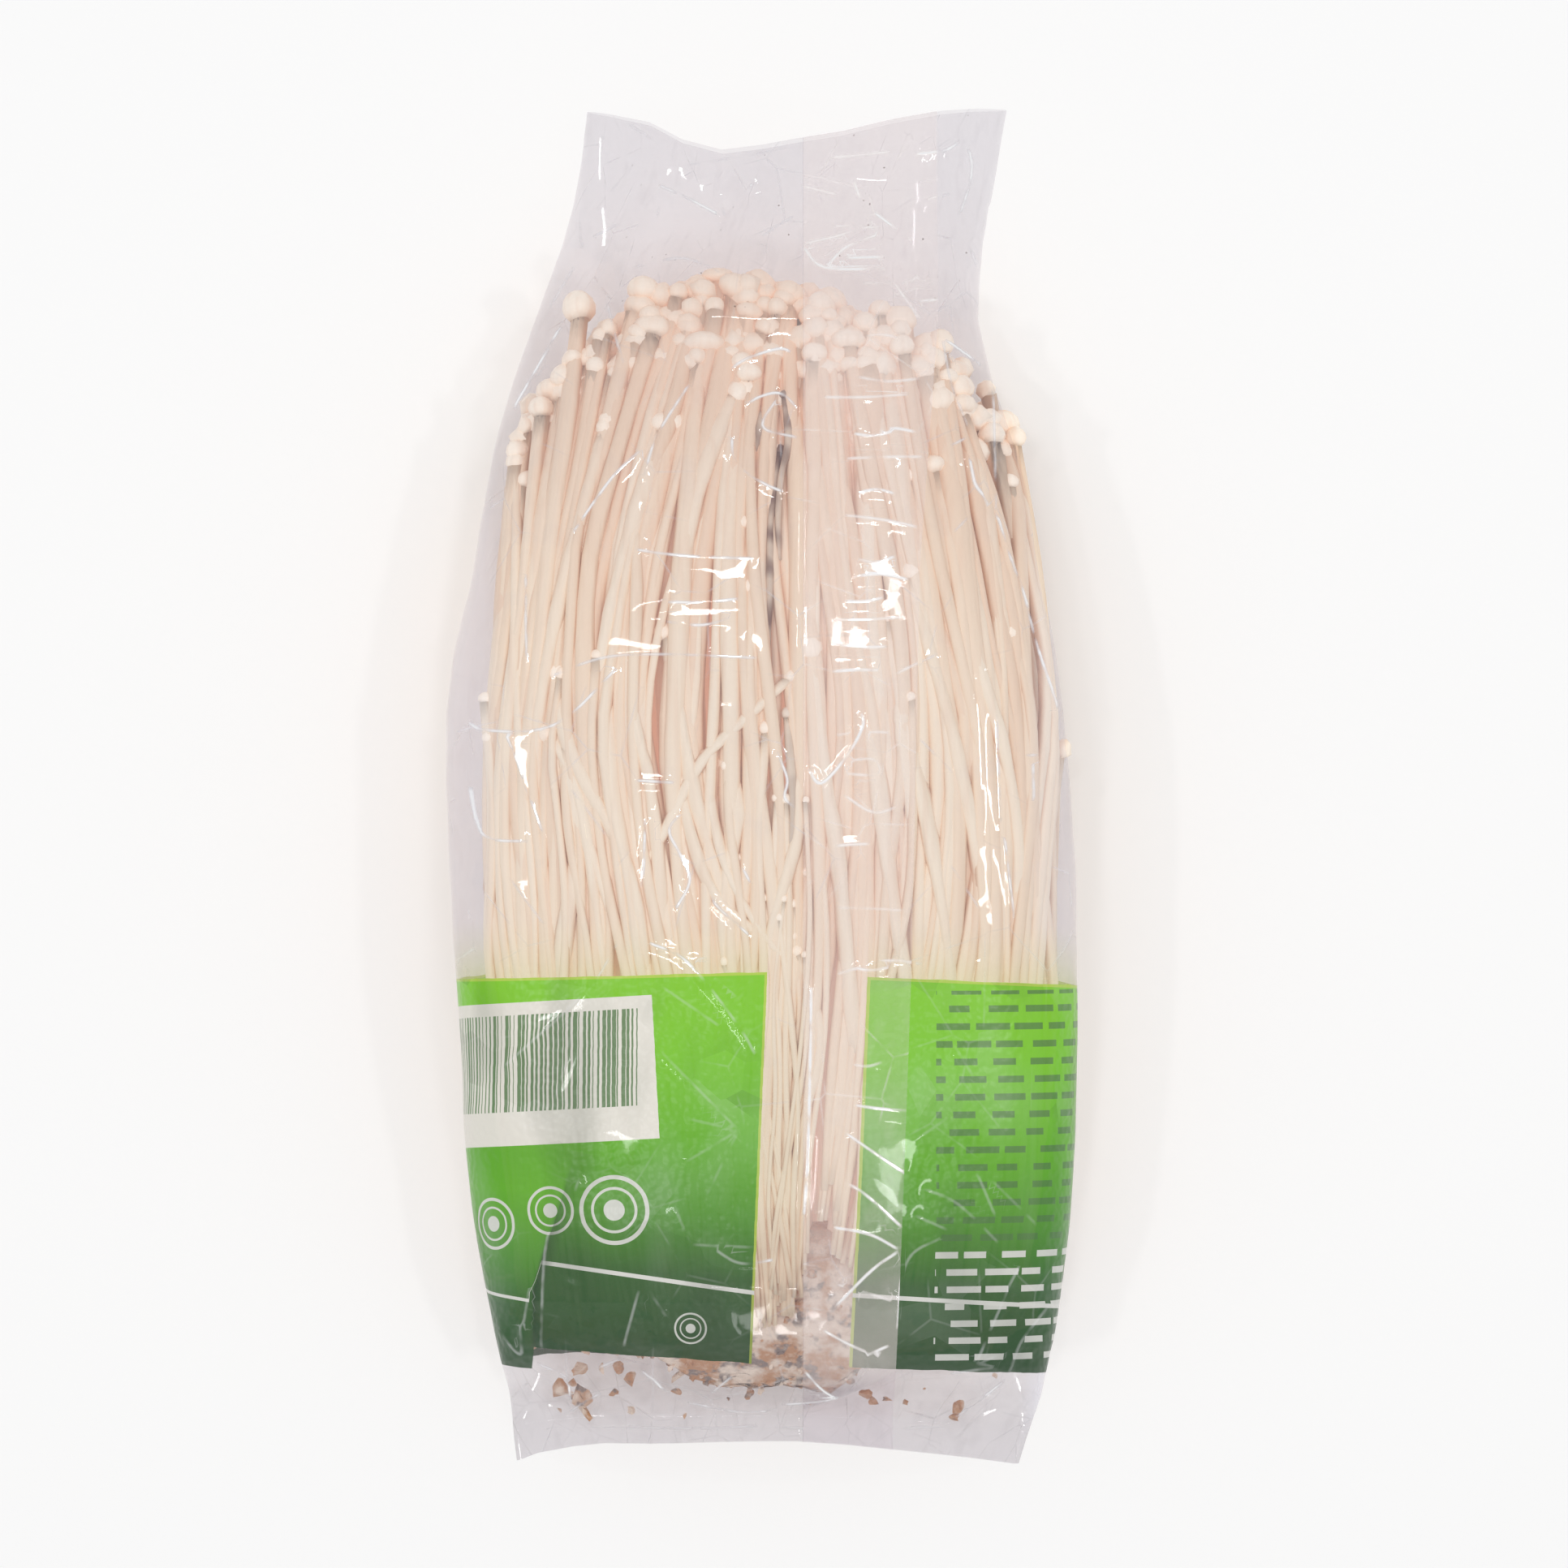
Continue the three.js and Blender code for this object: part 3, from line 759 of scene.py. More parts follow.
rng = np.random.default_rng(3)
for radius, withered, *numbers in LOOSE:
    flat = np.array(numbers).reshape(-1, 2) * MM
    path = smooth_path(np.column_stack([flat, np.zeros(len(flat))]), np.linspace(0, 1, PATH_POINTS))
    depth = LOOSE_DEPTH + END_DEPTH * np.abs(np.linspace(-1, 1, PATH_POINTS)) ** 3 + withered * MM
    path[:, 2] = film_heights(path[:, 0], path[:, 1])[1] - depth - radius * MM - CLEARANCE
    tone = rng.uniform(0, 0.15)
    tuft_at(path).add(near_models["bud"], path, radius * MM, tone, rng, 1.0, 0.2, 0.8, withered)
print(len(LOOSE), "loose mushrooms")

# %% Strands between the roots and the parting
# Thin young stems that run down between the two printed panels.
STRANDS = 22
rng = np.random.default_rng(52)
for i in range(STRANDS):
    foot_x, top_x = rng.uniform(0.5, 6.0), rng.uniform(-3.0, 9.0)
    towards_top = np.array([0, 0.3, 0.6, 1, 1])
    x = foot_x * (1 - towards_top) + top_x * towards_top
    x[-1] += rng.normal(0, 1.5)
    x += rng.normal(0, 0.7, 5)
    y = np.linspace(-82 + rng.uniform(-4, 4), rng.uniform(-28, -2), 5)
    path = np.column_stack([x, y, np.zeros(5)]) * MM
    radius = rng.uniform(0.45, 0.85) * MM
    depth = rng.uniform(0.2, 1.4) * MM
    path[:, 2] = film_heights(path[:, 0], path[:, 1])[1] - depth - radius - CLEARANCE
    path = smooth_path(path, np.linspace(0, 1, PATH_POINTS))
    tuft_at(path).add(near_models["bud"], path, radius, rng.uniform(0, 0.25), rng, 0.9, 0.2, 0.7)
print(STRANDS, "strands")

# %% One piece for each tuft
for node in TUFTS:
    tuft = tufts[node].piece(node + "_mushrooms", flesh)
    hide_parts(node)
counts = [len(t.points) for t in tufts.values()]
print("mushrooms:", sum(counts), "in tufts of", min(counts), "to", max(counts))

# %% [markdown]
# ## Roots and crumbs
#
# The stems grow together into a spongy clump, where white threads hold what is left of
# the growing medium: sawdust and bran, in tan and brown with grey-blue specks. It is a
# rounded block with many small cuts, pushed into lumps, and crumbs stick to it. A few
# crumbs have fallen to the foot of the bag.

# %% Growing medium
TAN = srgb(216, 192, 174)
BRAN = srgb(188, 138, 100)
SPECK = srgb(126, 114, 110)
THREADS = srgb(236, 218, 202)


def medium_finish():
    f = Finish("growing_medium")
    place = f.node("ShaderNodeTexCoord", output="Object")
    grain = f.noise(place, 900.0, 3.0, 0.6)
    patches = f.noise(place, 260.0, 3.0)
    specks = f.noise(place, 420.0, 2.0)
    bran = f.attribute("bran")
    colour = f.mix(TAN, BRAN, (patches + bran).ramp(0.5, 0.62))
    colour = f.mix(colour, SPECK, specks.ramp(0.55, 0.63) * 0.9)
    colour = f.mix(colour, THREADS, (1 - patches - bran * 0.6).ramp(0.5, 0.62) * 0.8)
    inputs = {
        "Base Color": f.mix(colour, THREADS, grain.ramp(0.5, 0.8) * 0.5),
        "Roughness": 0.75,
        "Normal": f.bump(grain + patches * 2, 0.8, 0.6 * MM),
    }
    return f.surface(f.node("ShaderNodeBsdfPrincipled", None, inputs))


medium = medium_finish()
print("made", medium.name)

# %% Uneven numbers over space
LATTICE = 32


def lumps(points, cell, seed):
    """Smooth random numbers from 0 to 1; cell is the size of one lump."""
    table = np.random.default_rng(seed).random((LATTICE,) * 3)
    at = points / cell
    low = np.floor(at).astype(int)
    t = at - low
    t = t * t * (3 - 2 * t)
    total = np.zeros(len(points))
    for step in product((0, 1), repeat=3):
        weight = np.where(step, t, 1 - t).prod(1)
        total += weight * table[tuple(((low + step) % LATTICE).T)]
    return total


# %% The clump
def mesh_points(piece):
    points = np.empty(len(piece.data.vertices) * 3)
    piece.data.vertices.foreach_get("co", points)
    return points.reshape(-1, 3)


ROUNDNESS = 3.2  # 2 is an ellipsoid, and more is squarer
CLUMP_LUMPS = [(3.2, 6, 21), (2.0, 2.6, 22), (1.2, 1.1, 23)]  # their height and size in mm, and a seed
PUSHED_IN = 4  # mm that the surface sinks first, so that lumps don't swell the clump
low, high = (np.array(corner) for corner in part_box("root_clump"))
bpy.ops.object.select_all(action="DESELECT")
bpy.ops.mesh.primitive_cube_add(size=2)
clump = bpy.context.object
clump.name = "root_clump_grown"
bpy.ops.object.mode_set(mode="EDIT")
bpy.ops.mesh.select_all(action="SELECT")
bpy.ops.mesh.subdivide(number_cuts=47)
bpy.ops.object.mode_set(mode="OBJECT")
cube = mesh_points(clump)
bulge = (np.abs(cube) ** ROUNDNESS).sum(1) ** (1 / ROUNDNESS)
shaped = cube / bulge[:, None] * (high - low) / 2 + (high + low) / 2
push = sum(height * lumps(shaped, cell * MM, seed) for height, cell, seed in CLUMP_LUMPS) - PUSHED_IN
shaped += unit(shaped - (high + low) / 2) * (push * MM)[:, None]
# The foot is highest away from the middle, and the top is lower left of the seam.
wide = np.clip((np.abs(shaped[:, 0] - 2 * MM) - 9 * MM) / (9 * MM), 0, 1)
shaped[:, 1] += (5.2 * wide - 1.7) * MM * np.clip(-cube[:, 1], 0, 1)
left_of_seam = np.clip(0.5 - (shaped[:, 0] - 6.5 * MM) / (3 * MM), 0, 1)
shaped[:, 1] -= 13 * MM * left_of_seam * np.clip(cube[:, 1], 0, 1)
over = film_heights(shaped[:, 0], shaped[:, 1])[1]
shaped[:, 2] = np.clip(shaped[:, 2], 0.8 * MM, np.maximum(over - 1.6 * MM, 1 * MM))
clump.data.vertices.foreach_set("co", shaped.ravel())
clump.data.polygons.foreach_set("use_smooth", [True] * len(clump.data.polygons))
clump.data.materials.append(medium)
bran = clump.data.attributes.new("bran", "FLOAT", "POINT")
bran.data.foreach_set("value", 0.06 * np.clip((-86 * MM - shaped[:, 1]) / (6 * MM), 0, 1))
clump.data.update()
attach(clump, BODY)
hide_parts("root_clump")
print("clump:", len(clump.data.polygons), "faces")

# %% Crumbs
bpy.ops.object.select_all(action="DESELECT")
bpy.ops.mesh.primitive_ico_sphere_add(subdivisions=2, radius=1)
crumb_model = bpy.context.object
round_crumb = mesh_points(crumb_model)
crumb_faces = [list(p.vertices) for p in crumb_model.data.polygons]
bpy.data.objects.remove(crumb_model)


def crumbs_piece(name, places, sizes, bran, seed):
    """Chips of those sizes at those places, each broken in a way of its own."""
    rng = np.random.default_rng(seed)
    points, faces = [], []
    for place, size in zip(places, sizes):
        shape = round_crumb * (0.3 + 1.3 * lumps(round_crumb + rng.uniform(0, 20, 3), 0.75, seed))[:, None]
        for _ in range(4):  # flat breaks
            side = unit(rng.normal(0, 1, 3))
            past = np.maximum(shape @ side - rng.uniform(0.15, 0.5), 0)
            shape -= past[:, None] * side
        shape *= rng.uniform((0.7, 0.7, 0.4), (1.3, 1.3, 0.7)) * size
        faces += [[v + len(points) * len(round_crumb) for v in face] for face in crumb_faces]
        points.append(shape + place)
    mesh = bpy.data.meshes.new(name)
    mesh.from_pydata(np.vstack(points).tolist(), [], faces)
    mesh.materials.append(medium)
    layer = mesh.attributes.new("bran", "FLOAT", "POINT")
    layer.data.foreach_set("value", np.repeat(bran, len(round_crumb)))
    piece = bpy.data.objects.new(name, mesh)
    bpy.context.collection.objects.link(piece)
    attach(piece, BODY)
    return piece


STUCK = 420
rng = np.random.default_rng(12)
likely = (shaped[:, 2] > 6 * MM) * np.where(shaped[:, 1] < -84 * MM, 4.0, 1.0)  # most at the foot
stuck_at = shaped[rng.choice(len(shaped), STUCK, replace=False, p=likely / likely.sum())]
stuck_sizes = rng.uniform(0.3, 0.9, STUCK) * MM
crumbs_piece("stuck_crumbs", stuck_at, stuck_sizes, rng.uniform(-0.15, 0.25, STUCK), 5)

# %% Crumbs in the foot of the bag
# x, y and half width of the crumbs that lie beside the frame's own, in mm.
LOOSE_CRUMBS = [
    (-28.9, -93.9, 1.3), (-31.5, -97.2, 1.8), (-30.2, -95.8, 0.9), (-28.6, -100.3, 2.4),
    (-29.4, -98.0, 2.0), (-32.4, -100.4, 0.7), (-20.8, -95.6, 1.2), (-20.8, -100.8, 0.9),
    (-13.3, -94.9, 1.9), (-14.5, -93.2, 1.3), (17.2, -98.2, 1.3), (20.4, -98.7, 0.8), (31.5, -102.0, 0.9),
    (11.2, -94.5, 1.1), (-25.5, -93.8, 1.0), (-22.8, -93.4, 1.1), (8.0, -99.5, 0.4), (-12.0, -101.5, 0.4),
    (26.5, -97.0, 0.4), (38.0, -95.0, 0.5), (-5.0, -98.8, 0.6),
]
places, sizes = [], []
for node in sorted(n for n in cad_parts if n.startswith("crumb_")):
    low, high = (np.array(corner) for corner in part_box(node))
    places.append((low + high) / 2)
    sizes.append((high - low).mean() / 2 * 0.8)
for x, y, size in LOOSE_CRUMBS:
    under, over = film_heights(x * MM, y * MM)
    places.append(np.array([x * MM, y * MM, (under + over) / 2]))
    sizes.append(size * MM)
rng = np.random.default_rng(8)
loose = crumbs_piece("loose_crumbs", places, sizes, rng.uniform(0.04, 0.2, len(places)), 6)
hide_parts(*(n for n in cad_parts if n.startswith("crumb_")))
print("crumbs:", STUCK, "stuck,", len(places), "loose")

# %% [markdown]
# ## The film bag
#
# The bag is one sheet of clear film. Its two long edges are welded face to face, which
# leaves a fin down the back, and the fin is folded over to the right. So the sheet
# starts at the fin's cut edge, turns back under itself at the seam, goes right round
# the bunch, and ends on top of the fin. It is a grid, whose columns are rolled up that
# way at each row. A cloth simulation would have to invent the creases, so they are
# drawn in: those that show best one by one, and the rest as facets.

# %% Crushed film
def crushed(points, cell, seed, tilt=0.55):
    """Shallow bowls that meet in sharp ridges, as in film that was crushed and smoothed out."""
    rng = np.random.default_rng(seed)
    seeds, tilts = rng.random((LATTICE,) * 3 + (3,)), rng.normal(0, tilt, (LATTICE,) * 3 + (3,))
    at = points / cell
    low = np.floor(at).astype(int)
    height = np.full(len(points), np.inf)
    for step in product((-1, 0, 1), repeat=3):
        key = tuple(((low + step) % LATTICE).T)
        away = at - (low + step + seeds[key])
        height = np.minimum(height, (away**2).sum(1) + (tilts[key] * away).sum(1))
    return height


# %% Creases that show best
# Each is its strength and the points (x, y) in mm that it runs through.
CREASES = [
    # the empty end
    (1.0, -16.1, 96.9, -11.8, 94.9, -6.0, 91.6), (0.7, -5.9, 94.2, -5.2, 91.2),
    (0.8, 6.8, 86.6, 10.4, 82.9, 20.4, 82.8), (0.5, 6.8, 86.8, 12.5, 88.2, 19.1, 90.1),
    (1.2, 10.6, 83.0, 14.0, 86.4, 19.3, 88.5), (1.0, 12.6, 84.5, 20.2, 84.7),
    (0.6, 15.0, 97.8, 16.2, 94.0), (1.0, 18.0, 92.4, 24.6, 87.2),
    (0.9, 24.6, 101.7, 29.2, 102.4, 32.1, 104.6), (0.8, 32.1, 104.6, 33.3, 99.8, 31.6, 91.6),
    (0.7, 24.8, 77.4, 28.9, 77.9), (0.6, 24.0, 80.5, 25.6, 82.0), (0.4, -21.4, 107.0, -15.1, 103.1),
    (0.7, -2.6, 95.4, -0.7, 97.4), (0.4, -15.6, 94.0, -16.3, 90.6),
    (0.5, 11.0, 101.2, 16.0, 101.6, 21.5, 102.2), (0.4, -28.6, 93.5, -28.2, 85.8),
    (0.6, -26.0, 105.0, -24.5, 104.4), (0.3, -12.0, 100.0, 0.0, 102.0, 8.0, 104.0),
    (0.4, -27.0, 88.0, -22.0, 90.5), (0.5, -20.0, 83.0, -12.0, 84.5, -6.0, 82.0),
    (0.4, 26.0, 94.0, 30.5, 95.5), (0.4, 0.0, 88.0, 6.0, 92.0), (0.5, 33.0, 87.0, 36.0, 80.0),
    (0.4, 5.0, 97.0, 13.0, 95.0), (0.5, 21.0, 81.0, 26.0, 74.0), (0.4, -33.5, 76.0, -29.0, 84.0),
    # over the heads
    (1.2, -4.7, 66.3, -1.7, 68.1, 3.0, 69.6, 5.2, 69.0),
    (0.8, -2.5, 60.4, 0.1, 61.9, 3.4, 62.4, 6.3, 59.7),
    (0.9, -4.3, 56.0, -3.9, 51.7, 0.1, 48.4, 4.5, 46.4), (0.7, 3.0, 61.9, 0.5, 57.1, 6.3, 55.3),
    (0.8, -18.1, 53.8, -23.0, 49.0, -29.8, 40.0), (0.7, -10.9, 64.1, -16.0, 55.7, -18.1, 48.8),
    (0.8, -30.7, 74.0, -33.8, 68.4, -38.6, 60.1), (0.5, -24.0, 77.6, -21.2, 67.0),
    (0.9, 28.9, 71.5, 35.1, 67.2), (0.6, 29.8, 54.1, 32.9, 55.8),
    (1.0, 32.5, 52.6, 34.2, 47.8, 36.1, 44.2), (0.6, 36.7, 66.0, 37.1, 43.6),
    (1.0, 37.1, 43.6, 39.3, 36.5, 41.5, 30.7, 43.7, 22.0, 47.3, 12.0),
    (0.5, 28.7, 71.6, 30.2, 64.0, 33.0, 56.7), (0.5, 30.2, 40.2, 33.1, 43.2),
    # the middle
    (1.2, -19.5, 37.6, -12.0, 36.6, -0.6, 36.1), (0.9, -15.0, 29.3, -9.0, 29.2, -3.0, 29.8),
    (0.8, -15.0, 26.2, -9.0, 25.6, -4.0, 27.0), (0.7, -37.1, 34.5, -36.8, 20.0),
    (0.6, -33.3, 17.4, -25.0, 20.4, -16.0, 21.0, 0.0, 20.4),
    (0.8, -46.3, 10.5, -42.6, 9.0, -32.1, 9.9, -22.2, 19.1),
    (0.8, -45.8, 0.5, -44.8, -5.7, -42.6, -8.2, -36.4, -8.6),
    (1.0, -40.0, 9.0, -38.0, 4.0, -36.4, -0.9, -34.0, -7.5), (1.0, -20.0, 1.1, -13.1, 0.7),
    (0.9, -18.0, -4.6, -18.2, -12.0, -18.8, -16.0),
    (1.1, -12.0, -3.8, -14.2, -6.8, -12.4, -10.8, -10.9, -14.8, -13.3, -19.5),
    (1.0, -7.7, -17.0, -6.5, -18.9, -1.0, -23.9), (0.9, 2.6, 6.0, 4.4, 1.3, 4.0, -1.7, 6.2, -3.5),
    (0.8, -2.9, -12.2, -1.2, -15.5), (1.0, -17.8, -24.4, -11.3, -27.6, -3.3, -37.7, -0.5, -42.5),
    (0.7, -11.3, -27.6, -8.0, -26.8), (0.5, -9.8, -28.0, -3.3, -33.4),
    (0.6, -22.2, -24.3, -27.3, -32.2, -40.8, -44.7),
    (0.9, 15.9, 12.1, 16.4, 9.9, 14.2, 5.5, 9.8, 0.6, 7.5, 3.3), (0.5, 21.2, 17.7, 28.6, 21.4),
    (0.8, 43.0, 4.8, 43.2, -2.6), (0.6, 41.7, 5.0, 44.8, 5.2), (0.7, 38.6, -7.4, 40.0, -21.5),
    (0.5, 37.5, 12.0, 38.2, -6.0), (0.5, 12.5, 4.0, 18.0, 4.4, 18.6, 2.0, 12.6, 2.2),
    (0.5, 13.0, -1.0, 18.0, -4.0, 22.0, -3.0), (0.5, 12.0, -29.6, 20.0, -27.4, 26.0, -28.0),
    (0.4, -30.0, 0.0, -24.0, -8.0), (0.4, 25.0, 8.0, 31.0, 2.0), (0.4, 30.0, -12.0, 35.0, -20.0),
    (0.4, -40.0, -14.0, -34.0, -22.0),
    # the print, left and right
    (0.5, -15.7, -31.3, -10.4, -34.9, -5.9, -38.0), (0.5, -29.6, -35.8, -30.4, -43.0, -32.3, -49.7),
    (0.5, -15.7, -41.6, -3.2, -54.2), (0.4, -11.3, -52.4, -3.2, -54.2), (0.4, -12.1, -59.6, -3.2, -54.2),
    (0.4, -8.5, -65.0, -3.2, -54.2), (0.4, -13.4, -66.0, -10.8, -72.4), (0.5, -10.8, -72.4, 0.0, -72.9),
    (1.0, -7.2, -73.0, -3.0, -75.4, 2.6, -74.8), (0.7, -28.0, -61.5, -29.0, -64.5),
    (0.8, -18.9, -79.7, -21.6, -89.5), (0.6, -17.5, -79.7, -14.5, -84.5),
    (0.8, -43.5, -84.2, -38.1, -90.9, -37.7, -85.0), (1.0, -32.9, -70.0, -33.9, -76.0, -34.6, -90.0),
    (0.7, -36.2, -79.0, -38.3, -91.0), (1.0, 8.2, -31.0, 8.0, -45.0, 7.6, -60.0, 7.0, -68.0),
    (1.1, 14.8, -50.2, 19.0, -50.8, 23.6, -51.2), (1.1, 13.5, -54.5, 17.9, -57.6, 23.8, -61.6),
    (0.9, 13.5, -62.4, 17.0, -64.6, 22.8, -69.9), (1.0, 11.5, -69.6, 17.5, -70.8, 22.3, -73.4),
    (0.9, 22.3, -73.4, 17.9, -76.5, 12.0, -82.5), (0.7, 28.9, -71.2, 23.2, -75.2, 21.9, -86.6),
    (0.8, 16.1, -91.0, 21.0, -88.8), (0.6, 24.1, -67.7, 29.8, -70.3),
    (1.0, 39.9, -94.1, 41.6, -88.8, 46.5, -82.2), (0.6, 33.0, -93.0, 40.0, -90.0),
    (0.4, 30.0, -40.0, 36.0, -50.0), (0.4, 24.2, -56.0, 30.0, -52.0), (0.4, 36.0, -62.0, 44.0, -70.0),
    (0.9, 41.3, -75.8, 39.1, -80.3, 34.6, -92.0), (0.6, 33.9, -60.9, 37.2, -68.7),
    (0.6, 25.5, -63.5, 31.0, -66.0, 37.8, -72.6),
    # the foot
    (0.8, -36.0, -92.0, -31.0, -94.5, -30.0, -99.0), (0.6, -26.0, -93.0, -21.5, -91.0),
    (0.8, -19.0, -93.0, -14.0, -97.5), (0.9, 2.2, -99.6, 11.0, -98.6, 20.4, -95.3),
    (0.9, 7.0, -93.0, 10.5, -97.0, 15.0, -99.5), (0.6, 18.0, -101.5, 22.0, -100.5),
    (0.7, 29.0, -94.0, 38.0, -92.8), (0.7, 31.0, -102.0, 40.0, -94.5), (0.6, -35.0, -104.0, -25.0, -97.0),
    (0.6, -12.0, -99.0, -2.0, -101.0, 5.0, -99.5), (0.5, -30.0, -103.0, -12.0, -103.6, 0.0, -103.2),
    (0.5, 2.0, -103.4, 16.0, -103.8, 30.0, -103.2), (0.6, -8.0, -97.5, -4.0, -93.8),
    (0.6, 42.0, -97.0, 43.0, -101.0),
]
# Ripples across the fin: strength, and y at the seam and at the cut edge, in mm.
RIPPLES = [
    (0.6, 65.4, 65.0), (0.5, 61.8, 62.6), (1.0, 55.6, 57.2), (0.8, 54.8, 56.4), (0.5, 51.9, 52.4),
    (1.2, 46.6, 46.3), (0.6, 43.6, 41.0), (1.2, 35.6, 36.9), (1.0, 33.4, 32.7), (0.9, 29.0, 30.6),
    (0.5, 26.4, 27.0), (0.6, 22.8, 22.0), (0.9, 18.2, 18.6), (0.4, 8.0, 8.8), (0.5, 1.2, 2.4),
    (0.6, -9.4, -8.6), (0.4, -18.9, -19.6), (0.7, -28.6, -28.2), (0.4, -44.0, -43.0), (0.4, 72.0, 71.0),
    (0.3, 80.0, 81.0), (0.4, 90.0, 89.0), (0.7, -86.0, -92.0), (0.5, -78.0, -82.0),
]


def crease_at(x, y, numbers):
    """How far each point is to the side of a line through those points, and how far inside its ends."""
    line = np.array(numbers).reshape(-1, 2)
    if len(line) > 2:
        line = smooth_path(line, np.linspace(0, 1, 5 * len(line) - 4))
    off, inside, nearest = np.zeros(len(x)), np.zeros(len(x)), np.full(len(x), np.inf)
    lengths = np.hypot(*np.diff(line, axis=0).T)
    for i, (start, length) in enumerate(zip(line, lengths)):
        ahead = (line[i + 1] - start) / length
        along = np.clip((x - start[0]) * ahead[0] + (y - start[1]) * ahead[1], 0, length)
        east, north = x - start[0] - along * ahead[0], y - start[1] - along * ahead[1]
        away = np.hypot(east, north)
        nearer = away < nearest
        nearest[nearer] = away[nearer]
        off[nearer] = np.copysign(away, ahead[0] * north - ahead[1] * east)[nearer]
        from_start = lengths[:i].sum() + along
        inside[nearer] = np.clip(np.minimum(from_start, lengths.sum() - from_start) / 1.2, 0, 1)[nearer]
    return off, inside


print(len(CREASES), "creases and", len(RIPPLES), "ripples")

# %% Lamps and glints
# A facet of film glints where it tips halfway between the camera and a lamp, so the lamps
# are settled first: azimuth and tilt in degrees, length and width in metres, and power.
LAMP_DISTANCE = 1000 * MM
LAMPS = {
    "over_left": (116, 11, 0.1, 0.04, 0.4), "over_right": (50, 13, 0.05, 0.04, 0.3),
    "head": (88, 44, 0.06, 0.02, 0.15), "foot": (270, 56, 0.08, 0.03, 0.1),
    "left": (180, 39, 0.12, 0.04, 0.5), "right": (2, 37, 0.12, 0.04, 0.5),
    "corner_1": (40, 24, 0.12, 0.04, 0.4), "corner_2": (130, 24, 0.12, 0.04, 0.4),
    "corner_3": (220, 24, 0.12, 0.04, 0.4), "corner_4": (310, 24, 0.12, 0.04, 0.4),
}
# Facets that glint: x, y, half length, half width in mm, and the angle of the length in degrees.
GLINTS = [
    (16.2, 86.3, 2.0, 1.2, 30), (27.2, 98.7, 1.6, 0.5, 90), (28.5, 86.2, 1.0, 0.5, 60),
    (-23.5, 98.2, 0.9, 0.6, 60), (-24.8, 93.7, 1.1, 0.5, 20), (-5.6, 92.4, 1.0, 0.6, 70),
    (11.8, 101.2, 0.9, 0.4, 0), (20.5, 102.1, 1.3, 0.4, 10), (-3.4, 34.6, 2.6, 1.1, 40),
    (-9.2, 27.6, 5.6, 1.0, 2), (19.6, 34.6, 2.2, 1.3, 0), (19.7, 28.9, 1.6, 0.6, 10),
    (36.1, 22.9, 1.9, 0.8, -70), (36.7, 16.4, 2.5, 0.8, -75), (42.0, 17.3, 3.0, 1.0, -65),
    (44.0, 8.5, 0.9, 0.6, -60), (42.2, -5.7, 0.9, 0.8, 0), (13.0, 19.9, 1.6, 0.8, 10),
    (13.3, 16.0, 1.2, 0.4, 5), (13.9, -11.8, 1.5, 0.6, -10), (16.6, -14.0, 1.0, 0.5, 10),
    (13.1, -19.2, 0.6, 0.4, 0), (34.2, -27.6, 1.1, 0.5, 40), (-38.6, 7.8, 1.8, 0.7, 5),
    (-37.5, 3.1, 3.6, 1.0, -72), (-35.2, -4.5, 2.4, 0.6, -70), (-45.2, -2.4, 2.6, 0.6, -80),
    (-14.4, -1.4, 1.9, 0.6, 30), (-18.5, -12.8, 2.6, 0.7, 80), (-11.7, -12.4, 3.4, 0.8, -75),
    (-10.9, -19.5, 1.3, 0.5, 20), (4.2, -24.0, 1.4, 0.5, -35), (28.2, 53.0, 0.8, 0.7, 0),
    (33.0, 50.2, 2.2, 0.6, -70), (9.2, 39.5, 1.2, 0.5, -20), (20.5, -51.0, 2.8, 0.5, -6),
    (21.0, -59.8, 2.8, 0.6, -33), (17.0, -70.7, 2.4, 0.5, -12), (-29.5, -78.8, 1.5, 0.9, -20),
    (21.2, -88.8, 1.2, 0.5, 25), (9.6, -67.2, 0.9, 0.6, 10), (14.2, -77.0, 1.6, 0.6, 40),
    (-0.9, -41.0, 1.2, 0.4, -60), (8.5, -90.0, 1.4, 0.5, 15), (-22.3, 70.0, 0.6, 0.4, 0),
    (-4.6, 62.6, 0.8, 0.4, 30), (0.0, 36.0, 0.5, 0.4, 0), (6.3, 43.0, 0.5, 0.4, 0),
    (6.2, 36.8, 0.6, 0.4, 60), (6.0, 30.0, 0.5, 0.4, 0), (6.4, 20.0, 0.6, 0.4, 70),
    (5.8, 8.0, 0.5, 0.3, 20), (5.9, -12.0, 0.5, 0.3, 0), (6.2, -22.0, 0.6, 0.4, 60),
    (6.0, -34.0, 0.5, 0.3, 0), (-31.0, -95.0, 0.9, 0.5, 20), (-16.0, -95.5, 1.2, 0.4, -40),
    (0.5, -96.5, 0.8, 0.4, 60), (34.0, -98.5, 1.3, 0.4, 40), (14.0, -97.5, 1.6, 0.4, 20),
]


def lamp_place(azimuth, tilt):
    a, t = math.radians(azimuth), math.radians(tilt)
    return LAMP_DISTANCE * np.array([math.cos(a) * math.sin(t), math.sin(a) * math.sin(t), math.cos(t)])


def mirror_slope(place, lamp):
    """The rise of the film per unit of x and y that mirrors a lamp to the camera."""
    half = unit(np.array(lamp) - place) + unit(np.array(camera.location) - place)
    return -half[:2] / half[2]


print(len(LAMPS), "lamps and", len(GLINTS), "facets that glint")

